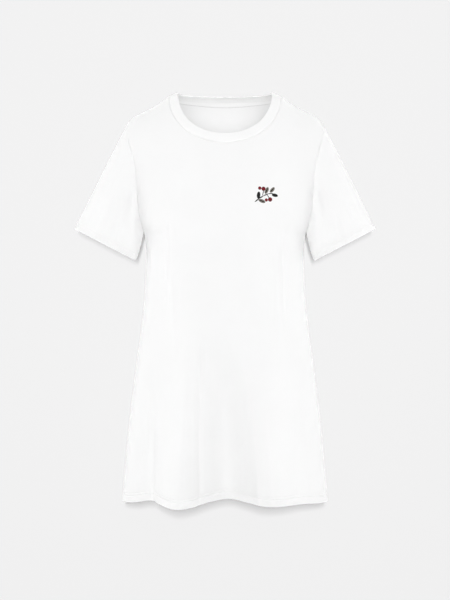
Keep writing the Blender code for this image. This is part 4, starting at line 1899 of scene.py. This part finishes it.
@dataclass(frozen=True)
class Studio:
    """The camera, the plain pale floor and wall, and the soft light.

    `ground` is the brightness of the floor and the wall, `paint` what they give back of the light, and
    `hem_drop` and `sleeve_drop` how much darker the wall is in the shadow of the hem and of the sleeves. The
    values from `sky` to `edge_beside` are the brightness that each light alone gives to a white face turned
    to it.
    """

    eye: tuple[float, float, float] = (0.0, -3.8, -0.451)
    lens: float = 104.587
    sensor: float = 36.0
    floor_z: float = -1.42
    floor_half: float = 6.0
    wall_y: float = 0.175
    wall_half: float = 4.0
    wall_top: float = 3.0
    ground: float = 0.887
    paint: float = 0.03
    hem_drop: float = 0.35
    sleeve_drop: float = 0.36
    sky: float = 0.60
    fill: float = 0.21
    front: float = 0.274
    beside: float = 0.175
    neck: float = 0.20
    arms: float = 0.015
    armpit: float = 0.11
    rib: float = 0.10
    rib_beside: float = 0.08
    collar: float = 0.07
    above: float = 0.10
    edge_above: float = 0.18
    edge_beside: float = 0.12
    edge_spread: float = 60.0
    wide_spread: float = 170.0

    def camera(self) -> None:
        """Set the camera level, straight in front of the dress."""
        data = bpy.data.cameras.new("camera")
        data.lens = self.lens
        data.sensor_width = self.sensor
        bpy.context.scene.camera = stand(data, self.eye, (math.radians(90.0), 0.0, 0.0))

    def plane(self, name: str, corners: list[tuple[float, float, float]], glow: float) -> bpy.types.Object:
        """Add a plain pale plane that only the camera sees, and only from its front.

        Args:
            name: Its name.
            corners: Its four corners, in metres.
            glow: How much light it gives of its own.

        Returns:
            The plane.
        """
        mesh = bpy.data.meshes.new(name)
        mesh.from_pydata(corners, [], [(0, 1, 2, 3)])
        plane = bpy.data.objects.new(name, mesh)
        bpy.context.scene.collection.objects.link(plane)
        material = bpy.data.materials.new(name)
        material.use_nodes = True
        graph = Graph(material.node_tree)
        shader = material.node_tree.nodes["Principled BSDF"]
        for key, value in (("Base Color", (self.paint, self.paint, self.paint, 1.0)), ("Roughness", 1.0),
                           ("Specular IOR Level", 0.0), ("Emission Color", (1.0, 1.0, 1.0, 1.0)),
                           ("Emission Strength", glow)):
            graph.put(value, shader.inputs[key])
        seen = graph.add("ShaderNodeLightPath").outputs["Is Camera Ray"]
        behind = graph.add("ShaderNodeNewGeometry").outputs["Backfacing"]
        seen = graph.math("MULTIPLY", seen, graph.math("SUBTRACT", 1.0, behind))
        clear = graph.add("ShaderNodeBsdfTransparent")
        mix = graph.mix(seen, clear.outputs[0], shader.outputs[0])
        graph.put(mix, material.node_tree.nodes["Material Output"].inputs["Surface"])
        mesh.materials.append(material)
        return plane

    def backdrop(self) -> bpy.types.Object:
        """Build the floor and the wall, and the even light from all round.

        Returns:
            The wall.
        """
        scene = bpy.context.scene
        scene.view_settings.view_transform = "Standard"
        scene.world = bpy.data.worlds.new("even light")
        scene.world.use_nodes = True
        graph = Graph(scene.world.node_tree)
        light = graph.tree.nodes["Background"]
        graph.put((1.0, 1.0, 1.0, 1.0), light.inputs["Color"])
        graph.put(self.sky, light.inputs["Strength"])
        shown = graph.feed("ShaderNodeBackground", {"Color": (self.ground, self.ground, self.ground, 1.0)})
        seen = graph.add("ShaderNodeLightPath").outputs["Is Camera Ray"]
        mix = graph.mix(seen, light.outputs[0], shown.outputs[0])
        graph.put(mix, graph.tree.nodes["World Output"].inputs["Surface"])
        even = self.paint * (self.sky + self.fill)
        x, y, z = self.floor_half, self.wall_y, self.floor_z
        self.plane("floor", [(-x, -x, z), (x, -x, z), (x, x, z), (-x, x, z)], self.ground - even)
        x, top = self.wall_half, self.wall_top
        glow = self.ground - self.hem_drop - self.sleeve_drop - even
        return self.plane("wall", [(-x, y, z), (x, y, z), (x, y, top), (-x, y, top)], glow)

    def shadow_light(self, name: str, height: float, tall: float, drop: float, wall: bpy.types.Object,
                     casters: list[bpy.types.Object]) -> None:
        """Add a light that falls on the wall alone, for the soft shadow of some pieces.

        Args:
            name: Its name.
            height: Its z.
            tall: Its height from top to bottom, which softens the shadow's lower edge.
            drop: How much it adds to the wall's brightness.
            wall: The wall.
            casters: The pieces that cast the shadow.
        """
        target = (0.0, self.wall_y, -0.45)
        light = Lamp(name, (0.0, -9.0, height), target, (0.07, tall), drop / self.paint).light()
        light.light_linking.receiver_collection = pick(name + " receivers", [wall])
        light.light_linking.blocker_collection = pick(name + " casters", casters)

    def build(self, body: list[bpy.types.Object], sleeves: list[bpy.types.Object],
              collar: list[bpy.types.Object], neck: list[bpy.types.Object]) -> None:
        """Build the stage and the light.

        Args:
            body: The pieces of the body.
            sleeves: The two sleeves.
            collar: The collar.
            neck: The other pieces whose inner faces show through the neck.
        """
        wall = self.backdrop()
        self.shadow_light("hem shadow light", 0.42, 0.83, self.hem_drop, wall, body)
        self.shadow_light("sleeve shadow light", -0.39, 1.02, self.sleeve_drop, wall, sleeves)
        middle = (0.0, 0.0, -0.45)
        for name, x in (("right light", -4.0), ("left light", 4.0)):
            Lamp(name, (x, -0.1, -0.6), middle, (1.6, 2.2), self.beside).light()
        key = Lamp("front light", (0.0, -2.2, -0.25), (0.0, 0.0, -0.25), (1.0, 0.6), self.front).light()
        key.visible_camera = False
        Fill("front fill", 90.0, self.wide_spread, self.fill, False).light()
        Fill("back fill", -90.0, self.wide_spread, self.fill, True).light()
        wide = self.edge_spread
        outline, arms = pick("outline receivers", body + sleeves), pick("sleeve receivers", sleeves)
        ribbed, lining = pick("collar receivers", collar), pick("neck receivers", neck)
        for light, receivers in (
            (Fill("sleeve fill", 90.0, wide, self.arms, False), arms),
            (Fill("collar fill", 138.0, 40.0, self.collar, False), ribbed),
            (Fill("overhead fill", 0.0, wide, self.above, False), outline),
            (Fill("upper edge fill", -45.0, wide, self.edge_above, True), outline),
            (Fill("right edge fill", 90.0, wide, self.edge_beside, True, -125.0), outline),
            (Fill("left edge fill", 90.0, wide, self.edge_beside, True, 125.0), outline),
            (Pool("right armpit light", -0.30, -0.304, 1.1, self.armpit, -0.177), outline),
            (Pool("left armpit light", -0.30, -0.304, 1.1, self.armpit, 0.175), outline),
            (Pool("neck light", 0.1, -0.065, 4.6, self.neck), lining),
            (Pool("back rib light", -0.05, -0.004, 4.0, self.rib), ribbed),
            (Pool("right rib light", -0.05, -0.004, 2.4, self.rib_beside, -0.055), ribbed),
            (Pool("left rib light", -0.05, -0.004, 2.4, self.rib_beside, 0.055), ribbed),
        ):
            light.light().light_linking.receiver_collection = receivers


def main() -> None:
    """Build the dress and its studio, piece by piece."""
    logging.basicConfig(level=logging.INFO, format="%(message)s")
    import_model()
    studio = Studio()
    studio.camera()

    front = Panel(FRONT_CUT, FRONT_CREASES, "front_panel", "front")
    back = Panel(BACK_CUT, BACK_CREASES, "back_panel", "back")
    right = Sleeve(Hand.RIGHT, RIGHT_SLEEVE_CREASES, "right_sleeve", "sleeve_right")
    left = Sleeve(Hand.LEFT, LEFT_SLEEVE_CREASES, "left_sleeve", "sleeve_left")
    collar = Collar()
    tape = NeckTape()

    arm_middles = {Hand.RIGHT: right.arm_middle(), Hand.LEFT: left.arm_middle()}
    front_cloth, back_cloth = front.lay(), back.lay()
    collar_cloth = collar.lay(front_cloth, back_cloth)
    for panel, cloth in ((front, front_cloth), (back, back_cloth)):
        panel.sew(cloth, arm_middles)
    collar.sew(collar_cloth)
    right_cloth, left_cloth = right.lay(), left.lay()
    right.sew(right_cloth)
    left.sew(left_cloth)
    tape_cloth = tape.lay(back_cloth)
    tape.sew(tape_cloth)

    groups = Groups.build()
    from_print = np.linalg.norm(front_cloth.points - np.array(PRINT_PLACE), axis=-1)
    nearest = np.unravel_index(np.argmin(from_print), from_print.shape)
    spot = (float(front_cloth.across[nearest]), float(front_cloth.down[nearest]))
    printed = JerseyFinish("white jersey with print", print_at=spot).make(groups)
    jersey = JerseyFinish("white jersey").make(groups)
    cuffs = JerseyFinish("white jersey, sleeves", rows=right.hem.rows).make(groups)
    rib = RibFinish("white rib", rib=collar.rib).make(groups)
    woven = TapeFinish("white tape", color=(0.93, 0.93, 0.93)).make(groups)
    thread = ThreadFinish("white thread", roughness=0.55, specular=0.4, sheen=0.0).make(groups)
    # Painted shadow: grey thread for the row below the neck tape, its grey standing in for the tape's shadow.
    shadow_grey_thread = ThreadFinish("thread painted grey as shadow", color=(0.52, 0.52, 0.52), specular=0.4, sheen=0.0).make(groups)

    pieces = {}
    for part, cloth, material, slot in (
        (front, front_cloth, printed, "jersey"),
        (back, back_cloth, jersey, "jersey"),
        (right, right_cloth, cuffs, "jersey"),
        (left, left_cloth, cuffs, "jersey"),
        (collar, collar_cloth, rib, "rib"),
        (tape, tape_cloth, woven, "tape"),
    ):
        pieces[part.name] = show(part.name, cloth.mesh(part.name), material, part.node, slot)
        LOG.info("%s: %.4f square metres, across %.0f to %.0f mm, down %.0f to %.0f mm", part.name,
                 cloth.area(), cloth.across.min(), cloth.across.max(), cloth.down.min(), cloth.down.max())

    tree = stitch_tree()
    hems = [cloth.trace(row, False) for cloth in (front_cloth, back_cloth) for row in front.hem.rows]
    Stitching("hem_stitches").sew(hems, False, tree, thread)
    for cuff, cloth in ((right, right_cloth), (left, left_cloth)):
        rows = [cloth.trace(row, False) for row in cuff.hem.rows]
        Stitching(cuff.name + "_stitches").sew(rows, True, tree, thread)
    neck = [cloth.trace(NECK_ROW, True) for cloth in (front_cloth, back_cloth)]
    Stitching("neck_stitches", pitch=3.0, length=2.4, width=0.45, height=0.34).sew(neck, False, tree, thread)
    taped = [tape_cloth.trace(row, True, inside=True) for row in tape.rows]
    Stitching("tape_stitches", pitch=2.8, length=2.2, width=0.5).sew(taped, False, tree, thread)
    # The row just below the neck tape is sewn in grey thread: a painted shadow line under the tape's lower
    # edge.
    path, ups = back_cloth.trace(tape.shadow_line_row, True, inside=True)
    cover = Stitching("shadow_line_stitches", pitch=2.5, length=2.3, width=0.8)
    cover.sew([(path[2:-2], ups[2:-2])], False, tree, shadow_grey_thread)

    studio.build([pieces["front_panel"], pieces["back_panel"], pieces["rib_collar"]],
                 [pieces["right_sleeve"], pieces["left_sleeve"]],
                 [pieces["rib_collar"]], [pieces["back_panel"], pieces["back_neck_tape"]])


if __name__ == "__main__":
    main()
